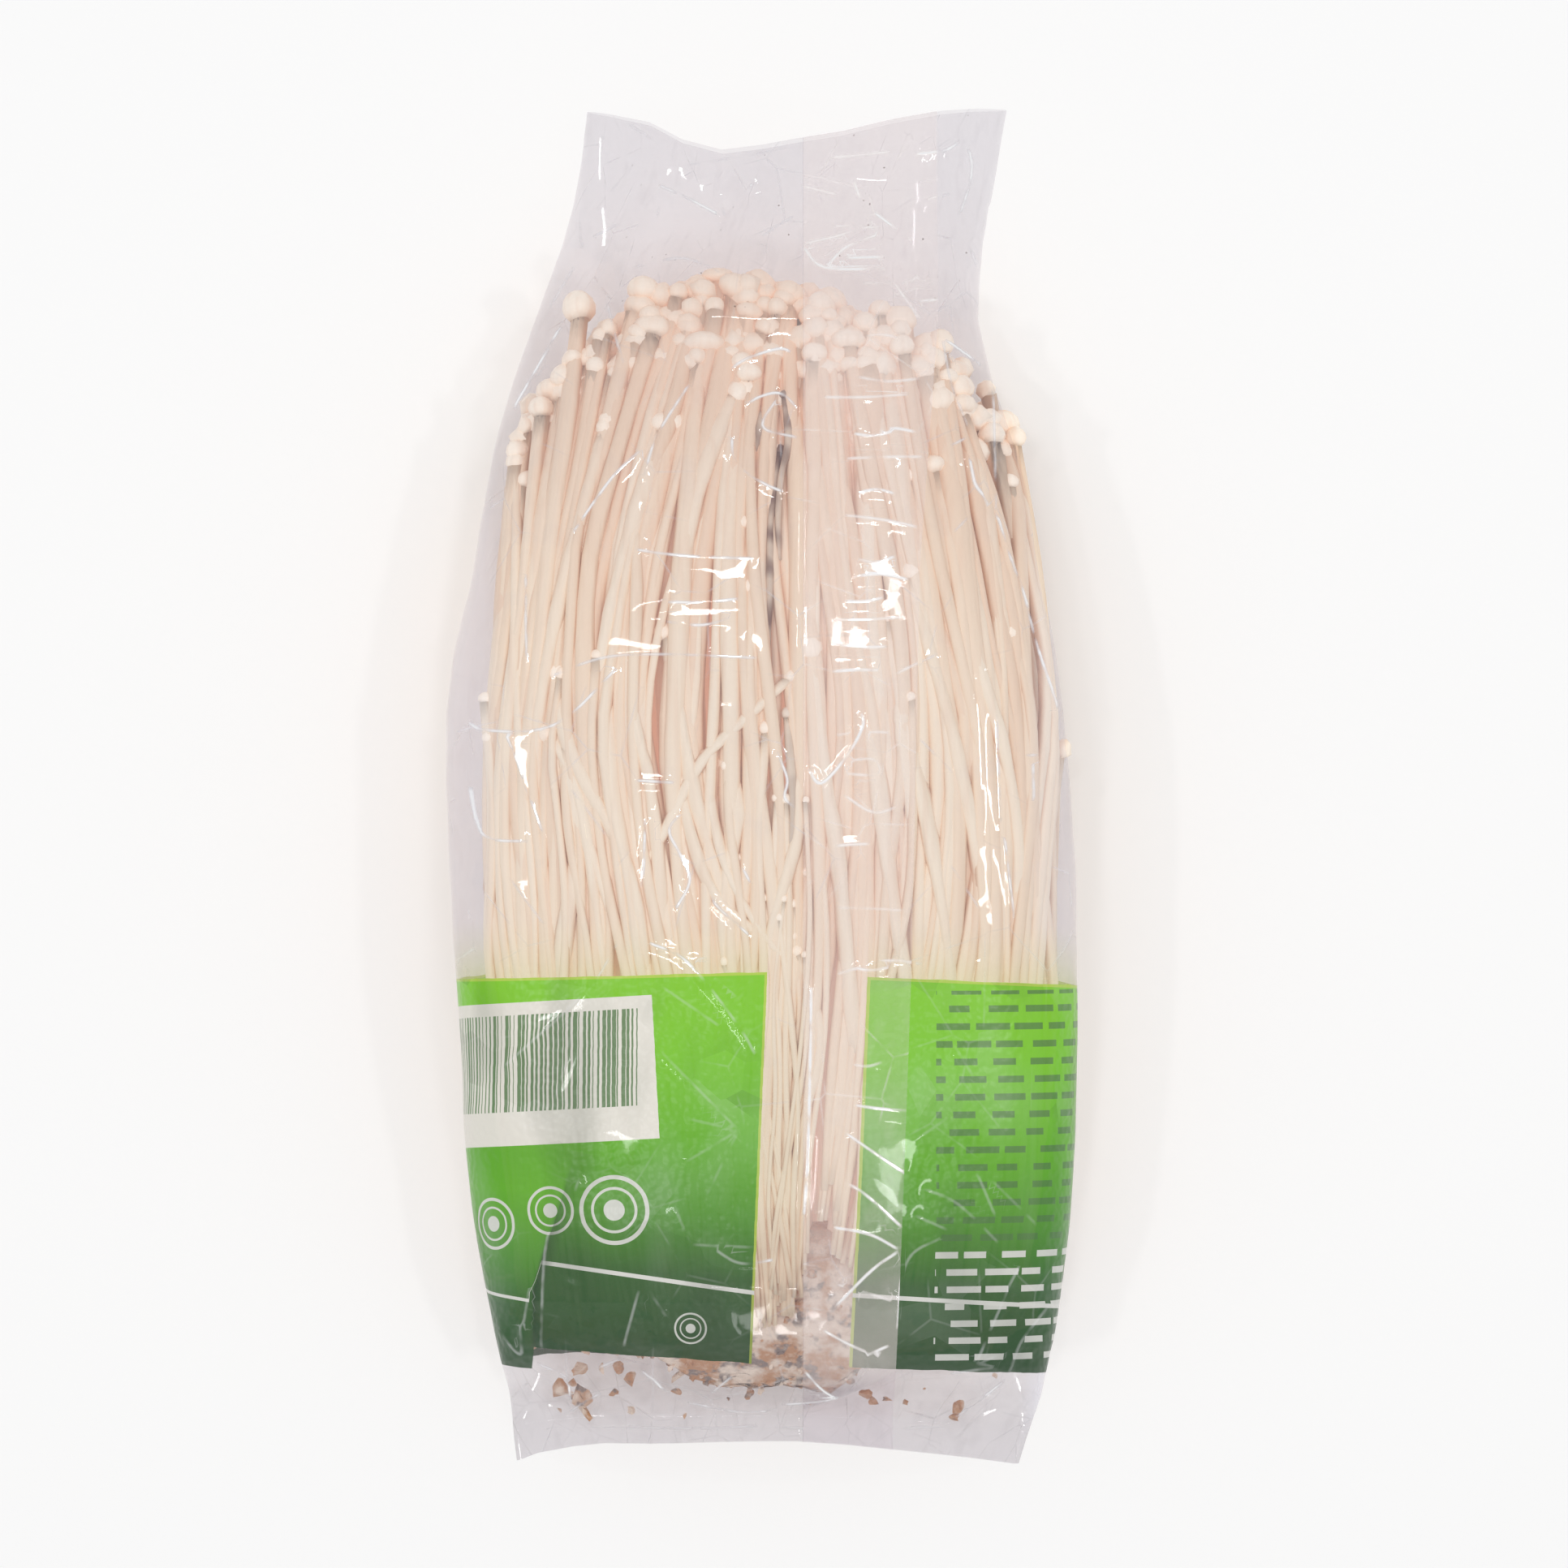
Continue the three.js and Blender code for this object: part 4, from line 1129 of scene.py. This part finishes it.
# %% Where the sheet goes
SEAM_X = 7 * MM
FIN_WIDTH = 20.8 * MM
FIN_Y = np.array([-101, -30, 35, 75]) * MM  # the heights at which the fin's cut edge turns
FIN_EDGE = np.array([21.5, 24, 25.4, 28.5]) * MM  # x of the cut edge there
LAYER_GAP = 0.15 * MM
ROWS = 304
COLUMNS = {"fin_below": 20, "turn": 6, "right": 76, "round": 84, "left": 96, "fin_above": 32}
FULL_GIRTH = 262 * MM
QUARTER = 1440  # points on a quarter of the section
# The sheet's two ends are a little wavy: their y at each x, in mm.
EDGE_X = np.array([-39, -36, -30, -25, -17.7, -12.5, -6, 0.5, 6, 13.5, 21.3, 29, 34.3, 41]) * MM
MOUTH_Y = np.array([
    109.3, 109.3, 109.3, 108.6, 107.1, 104.3, 102.6, 103.4, 104.4, 105.6, 107.5, 108.9, 109.3, 109.3,
]) * MM
FOOT_Y = -np.array([
    108.8, 107.6, 106.5, 106.0, 106.1, 106.0, 105.8, 105.7, 105.7, 106.2, 107, 107.8, 108.4, 109.3,
]) * MM


def round_the_bag(y):
    """The bag's section at y, clockwise from the seam and back, and the places of its sides in it."""
    left, right, middle, high = bag_at(y)
    angle = np.linspace(0.5 * math.pi, -1.5 * math.pi, 4 * QUARTER + 1)
    power = 2 / SECTION_POWER
    x = (left + right) / 2 + (right - left) / 2 * np.sign(np.cos(angle)) * np.abs(np.cos(angle)) ** power
    z = middle + (high - middle) * np.sign(np.sin(angle)) * np.abs(np.sin(angle)) ** power
    line = np.column_stack([x, np.maximum(z, 0.15 * MM)])
    seam = np.argmax(line[:, 0] > SEAM_X)
    return np.vstack([line[seam:-1], line[: seam + 1]]), QUARTER - seam, 3 * QUARTER - seam


def along_line(line, count, first, last):
    """Places evenly spaced along part of a line, and their distances from its start."""
    step = np.hypot(*np.diff(line, axis=0).T)
    length = np.concatenate([[0], np.cumsum(step)])
    at = np.linspace(length[first], length[last], count + 1)
    return np.column_stack([np.interp(at, length, line[:, k]) for k in (0, 1)]), at


def sheet_row(y):
    """Places (x, z) across the sheet at y, their distances across it, and how far each is in the fin."""
    line, right_side, left_side = round_the_bag(y)
    right, at_right = along_line(line, COLUMNS["right"], 0, right_side)
    under, at_under = along_line(line, COLUMNS["round"], right_side, left_side)
    left, at_left = along_line(line, COLUMNS["left"], left_side, -1)
    girth = at_left[-1]
    edge = np.interp(y, FIN_Y, FIN_EDGE)
    low_x = np.linspace(edge, SEAM_X, COLUMNS["fin_below"] + 1)
    high_x = np.linspace(SEAM_X, edge, COLUMNS["fin_above"] + 1)
    top = np.interp(low_x, right[:, 0], right[:, 1]), np.interp(high_x, right[:, 0], right[:, 1])
    turn = np.linspace(0, math.pi, COLUMNS["turn"] + 1)[1:-1]
    turned_x = SEAM_X - 0.5 * LAYER_GAP * np.sin(turn)
    turned = np.column_stack([turned_x, right[0, 1] + 0.5 * LAYER_GAP * (1 + np.cos(turn))])
    places = np.vstack([
        np.column_stack([low_x, top[0] + LAYER_GAP]), turned, right, under[1:], left[1:-1],
        np.column_stack([high_x, top[1] + 2.2 * LAYER_GAP]),
    ])
    shrink = FULL_GIRTH - girth
    at = np.concatenate([
        SEAM_X - low_x, np.zeros(len(turned)), at_right,
        at_under[1:] + shrink * np.linspace(0, 1, len(at_under))[1:], at_left[1:-1] + shrink,
        FULL_GIRTH + high_x - SEAM_X,
    ])
    round_bag = np.zeros(len(right) + len(under) + len(left) - 3)
    fin = np.concatenate([np.ones(len(low_x)), np.full(len(turned), 0.5), round_bag, np.ones(len(high_x))])
    return places, at, fin


flat_across = FULL_GIRTH + 2 * FIN_WIDTH
print("flat sheet:", round(flat_across / MM, 1), "by", round((BAG_MOUTH - BAG_FOOT) / MM, 1), "mm")

# %% The grid
row_y = np.linspace(BAG_FOOT, BAG_MOUTH, ROWS + 1)
rolled = [sheet_row(y) for y in row_y]
columns = len(rolled[0][1])
bpy.ops.object.select_all(action="DESELECT")
bpy.ops.mesh.primitive_grid_add(x_subdivisions=columns - 1, y_subdivisions=ROWS, size=1, calc_uvs=True)
film = bpy.context.object
film.name = "film"
grid = np.array([v.co[:] for v in film.data.vertices])
column = np.rint((grid[:, 0] + 0.5) * (columns - 1)).astype(int)
row = np.rint((grid[:, 1] + 0.5) * ROWS).astype(int)
print("film:", columns, "by", ROWS + 1, "points,", len(film.data.polygons), "faces")

# %% Rolling it up
WAVY_FOOT, WAVY_MOUTH = 14 * MM, 30 * MM  # how far from the ends their waves are felt
place = np.array([r[0] for r in rolled])[row, column]
across = np.array([r[1] for r in rolled])[row, column]
in_fin = np.array([r[2] for r in rolled])[row, column]
foot = np.interp(place[:, 0], EDGE_X, FOOT_Y)
mouth = np.interp(place[:, 0], EDGE_X, MOUTH_Y)
y = row_y[row]
y = y + (foot - BAG_FOOT) * np.clip(1 - (y - BAG_FOOT) / WAVY_FOOT, 0, 1)
y = y + (mouth - BAG_MOUTH) * np.clip(1 - (BAG_MOUTH - y) / WAVY_MOUTH, 0, 1)
points = np.column_stack([place[:, 0], y, place[:, 1]])
left, right, middle, high = bag_at(y)
sideways = (2 * points[:, 0] - left - right) / (right - left)
upwards = (points[:, 2] - middle) / np.maximum(high - middle, MM)
outward = unit(np.column_stack([
    np.sign(sideways) * np.abs(sideways) ** (SECTION_POWER - 1),
    np.zeros(len(points)),
    np.sign(upwards) * np.abs(upwards) ** (SECTION_POWER - 1),
]))
on_top = np.clip(outward[:, 2] * 1.6, 0, 1)
on_floor = np.clip(-outward[:, 2] * 2, 0, 1)
outward[in_fin > 0] = UPWARDS
on_top[in_fin > 0] = 1

# %% Creasing it
DEEPEST = 0.35  # mm that the film may sink towards the mushrooms
SHARP, WIDE = 0.8, 1.6  # mm to the side of a crease where its lift and its mark fade
CREASE_LIFT = 0.45  # mm for a crease of strength 1
NEARBY = 4  # mm round a crease in which points are moved
where = points * (1, 0.8, 1)  # facets are a little longer along the bag
busy = 0.35 + 0.65 * np.clip((lumps(points, 22 * MM, 1) - 0.4) * 4, 0, 1)  # some parts are more crushed
busy = np.maximum(busy, np.clip((-84 * MM - y) / (10 * MM), 0, 1))  # and the foot most of all
rise = 0.6 * crushed(where, 15 * MM, 2) * busy + 0.2 * crushed(where, 5.5 * MM, 3) * busy**2
rise += 1.2 * (lumps(points, 30 * MM, 4) - 0.3)
rise *= np.clip(0.25 + 0.75 * (1 - on_floor), 0, 1)
rise = np.where(rise < 0, DEEPEST * np.tanh(rise / DEEPEST), rise)
x_mm, y_mm = points[:, 0] / MM, y / MM
crease_off, crease_force = np.full(len(points), 9.0), np.zeros(len(points))


def add_crease(mask, strength, *numbers):
    """Lifts a sharp line of the film, and remembers how near each point is to it."""
    off, inside = crease_at(x_mm[mask], y_mm[mask], numbers)
    lift = strength * inside * np.exp(-np.abs(off) / SHARP)
    force = strength * inside * np.exp(-((off / WIDE) ** 2))
    index = np.flatnonzero(mask)
    rise[index] += CREASE_LIFT * lift
    strongest = force > crease_force[index]
    crease_force[index[strongest]], crease_off[index[strongest]] = force[strongest], off[strongest]


fin_edge_mm = np.interp(y, FIN_Y, FIN_EDGE) / MM
covered = (in_fin < 0.9) & (x_mm > SEAM_X / MM) & (x_mm < fin_edge_mm)  # by the fin
upper_side = (on_top > 0.3) & ~covered
for numbers in CREASES:
    across_x, along_y = numbers[1::2], numbers[2::2]
    near = (x_mm > min(across_x) - NEARBY) & (x_mm < max(across_x) + NEARBY)
    near &= (y_mm > min(along_y) - NEARBY) & (y_mm < max(along_y) + NEARBY)
    add_crease(near & upper_side, *numbers)
rng = np.random.default_rng(15)
for strength, at_seam, at_edge in RIPPLES:
    edge_x = np.interp(at_edge * MM, FIN_Y, FIN_EDGE) / MM
    ends = np.array([rng.uniform(0, 0.4), rng.uniform(0.55, 1.0)])
    x = 9.5 + (edge_x - 9.5) * np.array([ends[0], ends.mean(), ends[1]])
    y_line = np.interp(x, (9.5, edge_x), (at_seam, at_edge)) + rng.normal(0, 0.5) * np.array([0, 1, 0])
    near = np.abs(y_mm - (at_seam + at_edge) / 2) < 6
    add_crease(near & (in_fin > 0.9), strength, *np.column_stack([x, y_line]).ravel())
rise *= np.clip((y - BAG_FOOT - 3 * MM) / (8 * MM), 0.1, 1)  # the weld is flat
print("strongest crease:", round(float(crease_force.max()), 2))

# %% Facets that glint
for x0, y0, half_length, half_width, angle in GLINTS:
    foot_of_it = np.array([x0 * MM, y0 * MM, film_heights(x0 * MM, y0 * MM)[1]])
    beside = [film_heights(x0 * MM + dx, y0 * MM + dy)[1] for dx, dy in ((MM, 0), (0, MM))]
    steps = [(height - foot_of_it[2]) / MM for height in beside]
    slopes = [mirror_slope(foot_of_it, lamp_place(*lamp[:2])) for lamp in LAMPS.values()]
    slope = min(slopes, key=lambda s: np.hypot(*(s - steps)))
    east, north = x_mm - x0, y_mm - y0
    a = math.radians(angle)
    length, width = east * math.cos(a) + north * math.sin(a), north * math.cos(a) - east * math.sin(a)
    on_fin = SEAM_X / MM < x0 < np.interp(y0 * MM, FIN_Y, FIN_EDGE) / MM
    same_layer = upper_side & ((in_fin > 0.9) == on_fin)
    share = np.clip(2 - np.hypot(length / half_length, width / half_width), 0, 1) * same_layer
    if not (share > 0.5).any():
        continue
    middle_rise = rise[share > 0.5].mean()
    plane = foot_of_it[2] / MM + middle_rise + east * slope[0] + north * slope[1] - points[:, 2] / MM
    plane += np.where(in_fin > 0.9, points[:, 2] / MM - film_heights(points[:, 0], y)[1] / MM, 0)
    rise += share * share * (3 - 2 * share) * (np.clip(plane, -1.5, 2) - rise)
points += outward * (rise * MM)[:, None]
points[:, 2] = np.maximum(points[:, 2], 0.1 * MM)
film.data.vertices.foreach_set("co", points.ravel())
for name, values in (("crease_off", crease_off), ("crease_force", crease_force)):
    film.data.attributes.new(name, "FLOAT", "POINT").data.foreach_set("value", values)
print("creases lift the film by", round(float(rise.min()), 2), "to", round(float(rise.max()), 2), "mm")

# %% Its flat map
# The map keeps the sheet's flat layout: 0 to 1 across and along it.
FILM_MAP = "OFBake"
film.data.uv_layers[0].name = FILM_MAP
corner_points = np.empty(len(film.data.loops), int)
film.data.loops.foreach_get("vertex_index", corner_points)
along = (row_y[row] - BAG_FOOT) / (BAG_MOUTH - BAG_FOOT)
flat = np.column_stack([(across + FIN_WIDTH) / flat_across, along])
film.data.uv_layers[FILM_MAP].uv.foreach_set("vector", flat[corner_points].ravel())
film.data.polygons.foreach_set("use_smooth", [True] * len(film.data.polygons))
film.data.update()
print("flat map from", flat.min(0).round(3), "to", flat.max(0).round(3))

# %% [markdown]
# ## Film and print
#
# Clear film shows what is behind it, a little greyed and veiled, with sharp glints from
# its gloss. So its shader mixes see-through with a glossy coat. A crease whitens the
# film where it was bent, and crushing leaves a faint net of such lines. Where the film is
# printed, the ink takes over: a green band that darkens downwards, with a light line, a
# pale label, plain rings, and dashes in place of wording. The numbers below are in mm,
# and the shares are given.
# The white lines are partly painted highlights, which stand for glints along the creases, and the lighter and
# darker facets and bands on the print are painted light and shade.

# %% Colours of the film and its print
GREENS = [
    (0.0, srgb(34, 72, 36)), (0.22, srgb(42, 94, 38)), (0.38, srgb(76, 146, 36)),
    (0.56, srgb(96, 177, 16)), (0.8, srgb(120, 201, 14)), (1.0, srgb(127, 205, 12)),
]
FILM_GREY = srgb(182, 174, 184)
FOOT_GREY = srgb(140, 128, 138)
SIDE_LILAC = srgb(222, 222, 238)
WHITENING_AND_HIGHLIGHT = srgb(250, 250, 252)
SPECK_BROWN = srgb(110, 84, 70)
DOUBLED_AND_SHADE_GREEN = srgb(26, 66, 34)
FIN_GREY = srgb(255, 246, 240)
FILM_TINT = (0.985, 0.975, 0.985, 1.0)
LIME_EDGE = srgb(196, 212, 84)
INK_WHITE = srgb(222, 222, 216)
LABEL = srgb(234, 230, 220)
INK_DARK = srgb(72, 120, 60)

# %% Places on the sheet
BAND_TOP, BAND_BOTTOM = -29.2, -92.0
FIN_SLANT = 0.045  # how far the fin's edge and the right rim lean, per mm of height


class FilmPlaces:
    """Where a point of the sheet is, in mm of y and of x on each side of the seam, and what is there."""

    def __init__(self, f):
        flat_place = f.node("ShaderNodeUVMap", {"uv_map": FILM_MAP})
        self.sheet = f.scaled(flat_place, (flat_across, BAG_MOUTH - BAG_FOOT, 0))  # in metres
        self.across = f.axis(flat_place, "X") * (flat_across / MM) - FIN_WIDTH / MM
        self.y = f.axis(flat_place, "Y") * ((BAG_MOUTH - BAG_FOOT) / MM) + BAG_FOOT / MM
        self.down = -1 * self.y
        self.right_x = self.across + SEAM_X / MM
        self.left_x = self.across - (FULL_GIRTH - SEAM_X) / MM
        self.is_left = self.across > FULL_GIRTH / MM / 2
        self.is_right = 1 - self.is_left
        # The pleat at the lower left pulls the print beside it down.
        self.from_pleat = self.left_x - ((self.y + 62) * 0.33 - 30.3).most(-36.4)
        pulled = self.from_pleat.ramp(0, -0.6) * self.down.ramp(58, 64) * (7.5 - self.down.ramp(80, 93) * 3.8)
        self.on_back = self.left_x.ramp(-85, -60)
        slanted = self.left_x * (self.down.ramp(30, 90) * 0.095 - 0.028)
        self.y_left = self.y + (pulled + slanted) * self.on_back
        y_right = self.y + self.right_x * 0.045 * self.right_x.ramp(85, 60)
        self.y_print = self.y_left * self.is_left + y_right * self.is_right
        # The band ends at a rim on each side of the seam.
        self.left_rim = self.left_x - 1.2 - (self.y + 30) * 0.04
        self.right_rim = self.across - 10 - (self.y + 30) * FIN_SLANT
        self.inside = (self.right_rim > 0) * (self.left_rim < 0)
        wave = f.noise(f.scaled(flat_place, (40, 0, 0)), 1.0) - 0.5
        below_top = self.y_print < wave * 0.6 + BAND_TOP
        self.band = self.inside * below_top * (self.y_print > wave * 0.8 + BAND_BOTTOM)


# %% The green band
LINE_HALF = 0.36  # half the light line's width


def green_band(f, at):
    """The band's green, with its lime rim and its light line."""
    rim = (abs(at.y_print - BAND_TOP) < 0.45).most(abs(at.right_rim) < 0.5).most(abs(at.left_rim) < 0.4)
    height = at.y_print.ramp(BAND_BOTTOM, BAND_TOP)
    green = f.mix(f.node("ShaderNodeValToRGB", {"stops": GREENS}, {"Fac": height}), LIME_EDGE, rim * 0.7)
    left_line = abs(at.y_left + 80.3 + (at.left_x + 0.4) * 0.093 * at.on_back) < LINE_HALF
    right_line = abs(at.y + 80.6 + (at.right_x - 14) * 0.07) < LINE_HALF
    return f.mix(green, INK_WHITE, (left_line * at.is_left).most(right_line * at.is_right))


# %% Label, rings and dashes
BAR_PITCH = 0.78
RINGS = [(-43.7, -69.6, 4.2), (-33.3, -67.2, 3.9), (-22.9, -67.0, 5.6), (-10.9, -86.1, 2.6)]  # x, y, radius
LINE_PITCH, WORD_PITCH = 2.8, 6.3
LIGHT_BELOW = -73.0  # dashes are light below this y and dark above it


def with_label(f, at, green):
    """The green with a pale label on it, which is a little turned and has bars of random width."""
    label_y = at.y - (at.left_x + 17) * 0.061
    left_of_edge = at.left_x + 17 + (at.y + 34) * 0.06 < 0
    label = (at.left_x > -62) * left_of_edge * label_y.between(-55.6, -32.8)
    bar_place = at.left_x / BAR_PITCH
    bars = bar_place.part() < f.random(bar_place.whole()) * 0.75 + 0.15
    bars = bars * at.left_x.between(-60, -19.3) * label_y.between(-50.2, -34.8)
    return f.mix(f.mix(green, LABEL, label), INK_DARK, bars * 0.9)


def with_rings(f, at, green):
    """The green with plain rings on it, each with a thin ring and a dot inside."""
    for x, y, radius in RINGS:
        sideways, upwards = at.left_x - x, at.y - y
        reach = (sideways * sideways + upwards * upwards).root() / radius
        ring = reach.between(0.88, 1.0).most(reach.between(0.58, 0.66)).most(reach < 0.3)
        green = f.mix(green, INK_WHITE, ring * 0.92)
    return green


def with_dashes(f, at, green):
    """The green with lines of dashes on it, of random length and start."""
    line_place = at.y / LINE_PITCH
    line_number = line_place.whole()
    word_place = (at.right_x + f.random(line_number) * 9) / WORD_PITCH
    word = f.random(word_place.whole() + line_number * 17.3)
    dashes = (word_place.part() < 0.5 + word * 0.4) * line_place.part().between(0.28, 0.66)
    dashes = dashes * at.right_x.between(27.8, 64) * at.is_right
    green = f.mix(green, INK_DARK, dashes * at.y.between(LIGHT_BELOW, -32.2) * 0.8)
    return f.mix(green, INK_WHITE, dashes * at.y.between(BAND_BOTTOM, LIGHT_BELOW) * 0.9)


# %% Bent film, with painted light and shade
class Bends:
    """Signals for the marks that bending and crushing leave in the film, and for painted light and shade."""

    def __init__(self, f, at):
        self.fine = f.flat_noise(f.scaled(at.sheet, (160, 110, 0)), 1.0, 2.0, 0.6)
        self.grain = f.flat_noise(at.sheet, 900.0, 0.0)
        self.cloud = f.flat_noise(at.sheet, 28.0)
        self.folds = f.flat_noise(f.scaled(at.sheet, (75, 26, 0)), 1.0)
        broken = f.flat_noise(at.sheet, 260.0).ramp(0.3, 0.55)
        off, force = f.attribute("crease_off"), f.attribute("crease_force")
        # Lines along creases and a faint net where the film is crushed: partly the film's own whitening,
        # partly painted highlights that stand for glints.
        crease = (1 - abs(off).ramp(0.08, 0.34)) * force.ramp(0.1, 0.8) * broken
        self.crushed = f.flat_noise(at.sheet, 55.0).ramp(0.5, 0.62).most(at.down.ramp(92, 96) * 0.3)
        net = (1 - f.cells(at.sheet, 85.0, "DISTANCE_TO_EDGE", "Distance").ramp(0.006, 0.022)) * self.crushed
        self.lines = crease.most(net * broken * 0.3)
        self.facet = f.axis(f.cells(at.sheet, 150.0, "F1", "Color"), "X")

    def on_print(self, f, at, green):
        """The green where it is bent, folded or in two layers, with painted light and shade on its facets and
        folds.
        """
        # Beside the pleat the film lies in two layers, and the dark band there is partly painted shadow of
        # the fold.
        doubled_and_shaded = at.from_pleat.ramp(2.2, 0.2) * (at.from_pleat > 0) * at.down.ramp(60, 76)
        green = f.mix(green, DOUBLED_AND_SHADE_GREEN, doubled_and_shaded * 0.8)
        # Painted light and shade: white lines, a faint cloudy sheen and lit facets lighten the green, and
        # shaded facets darken it.
        pale = self.lines * 0.28 + self.cloud.ramp(0.6, 0.9) * 0.03
        green = f.mix(green, WHITENING_AND_HIGHLIGHT, pale + self.facet.ramp(0.6, 1.0) * self.crushed * 0.06)
        green = f.mix(green, DOUBLED_AND_SHADE_GREEN, self.facet.ramp(0.4, 0.0) * self.crushed * 0.2)
        # Painted sheen and shade: bands along the folds lighten and darken the green.
        green = f.mix(green, WHITENING_AND_HIGHLIGHT, self.folds.ramp(0.6, 0.85) * 0.1)
        return f.mix(green, DOUBLED_AND_SHADE_GREEN, self.folds.ramp(0.46, 0.22) * 0.3)


# %% The film's finish
def film_finish():
    f = Finish("printed_film")
    at = FilmPlaces(f)
    bends = Bends(f, at)
    green = with_dashes(f, at, with_rings(f, at, with_label(f, at, green_band(f, at))))
    green = bends.on_print(f, at, green)
    # The fin is two layers, and it is clearer where it lies on the bunch.
    fin_under, fin_over = at.across < 0, at.across > FULL_GIRTH / MM
    fin = fin_under.most(fin_over)
    fin_x = (SEAM_X / MM - at.across) * fin_under + at.left_x * fin_over
    over_print = (fin_x - 17 - (at.y + 30) * FIN_SLANT) > 0
    fin_shown = (at.y + 101.4 - (fin_x - 8.3) * 0.6).ramp(-0.3, 0.3)  # it is folded away at the foot
    low = at.down.ramp(24, 34)
    clearer = 0.05 + low * (over_print * 0.09 - 0.04) - over_print * at.down.ramp(60, 90) * 0.14
    haze = 0.14 - fin * clearer + at.y.ramp(48, 64) * 0.06
    haze = haze + bends.cloud.ramp(0.35, 0.75) * 0.05 + bends.fine.ramp(0.58, 0.72) * 0.05
    specks = (f.flat_noise(at.sheet, 1300.0, 0.0) > 0.935) * (at.y > 74) * (bends.cloud > 0.5)
    # Light from the green ink tints the film just above it.
    tinted = at.y_print.ramp(-20, -29) * at.inside * (1 - at.band) * (at.y + 50 > 0)
    place = f.node("ShaderNodeTexCoord", output="Object")
    side = abs(f.axis(place, "X") / MM - 0.5).ramp(41.5, 44.5)  # where nothing lies behind
    haze = haze + side * 0.12 + tinted * tinted * 0.16 + at.down.ramp(95, 98) * 0.06
    # The white lines add to the veil: partly whitening, partly painted highlight.
    veil = (haze + bends.lines * 0.75 + specks * 0.5) * (1 - fin * (1 - fin_shown))
    bare = f.mix(FILM_GREY, FIN_GREY, fin)
    # The foot strip is greyer, and its crushed facets get painted shade.
    bare = f.mix(bare, FOOT_GREY, at.down.ramp(92, 97) * (0.8 + bends.facet.ramp(0.5, 0.2) * 0.2))
    bare = f.mix(f.mix(bare, SIDE_LILAC, side), LIME_EDGE, tinted * 0.7)
    # White along the lines: partly whitening, partly painted highlight.
    bare = f.mix(f.mix(bare, WHITENING_AND_HIGHLIGHT, bends.lines), SPECK_BROWN, specks)
    weld = (at.y * 8.0).sine() * at.y.between(-106.5, -102.4)  # the weld's ribs
    inputs = {
        "Base Color": f.mix(bare, green, at.band),
        "Roughness": 0.3,
        "IOR": 1.5,
        "Coat Weight": 1 - at.band * 0.92 - fin * low * 0.5,
        "Coat Roughness": 0.04,
        "Coat IOR": 2.2,
        "Normal": f.bump(bends.fine + bends.grain * 0.8 + weld * 0.2, 0.5, 0.3 * MM),
    }
    look = f.node("ShaderNodeBsdfPrincipled", None, inputs)
    clear = f.node("ShaderNodeBsdfTransparent", None, {"Color": FILM_TINT})
    cover = veil.most(at.band * 0.97)
    return f.surface(f.node("ShaderNodeMixShader", None, {0: cover, 1: clear, 2: look}))


film.data.materials.append(film_finish())
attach(film, BODY)
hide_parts("film_bag", "seam_flap")
film.visible_shadow = film.visible_diffuse = False
print("film finish:", len(film.data.materials[0].node_tree.nodes), "nodes")

# %% [markdown]
# ## Studio
#
# A pale floor, a white surround for soft light, and narrow lamps all round. Each lamp
# shows in the film only where a crease tips towards it, which draws the crinkles.

# %% Floor and surround
bpy.context.scene.view_settings.view_transform = "Standard"
bpy.ops.object.select_all(action="DESELECT")
bpy.ops.mesh.primitive_plane_add(size=4)
floor = bpy.context.object
floor.name = "floor"
paper = Finish("floor_paper")
glow = {"Emission Color": (1, 1, 1, 1), "Emission Strength": 0.07}
paper_look = {"Base Color": srgb(250, 250, 250), "Roughness": 0.9, **glow}
paper_shader = paper.node("ShaderNodeBsdfPrincipled", None, paper_look)
floor.data.materials.append(paper.surface(paper_shader))
surround = bpy.data.worlds.new("surround")
surround.use_nodes = True
sky = surround.node_tree.nodes["Background"]
sky.inputs["Color"].default_value = (1, 1, 1, 1)
sky.inputs["Strength"].default_value = 0.62
bpy.context.scene.world = surround
print("surround strength", sky.inputs["Strength"].default_value)

# %% Lamps
for name, (azimuth, tilt, length, width, power) in LAMPS.items():
    place = Vector(lamp_place(azimuth, tilt))
    bpy.ops.object.light_add(type="AREA", location=place)
    lamp = bpy.context.object
    lamp.name = "lamp_" + name
    lamp.data.shape = "RECTANGLE"
    lamp.data.size, lamp.data.size_y = length, width
    lamp.data.energy = power
    lamp.rotation_euler = (-place).to_track_quat("-Z", "Y").to_euler()
print(len(LAMPS), "lamps")
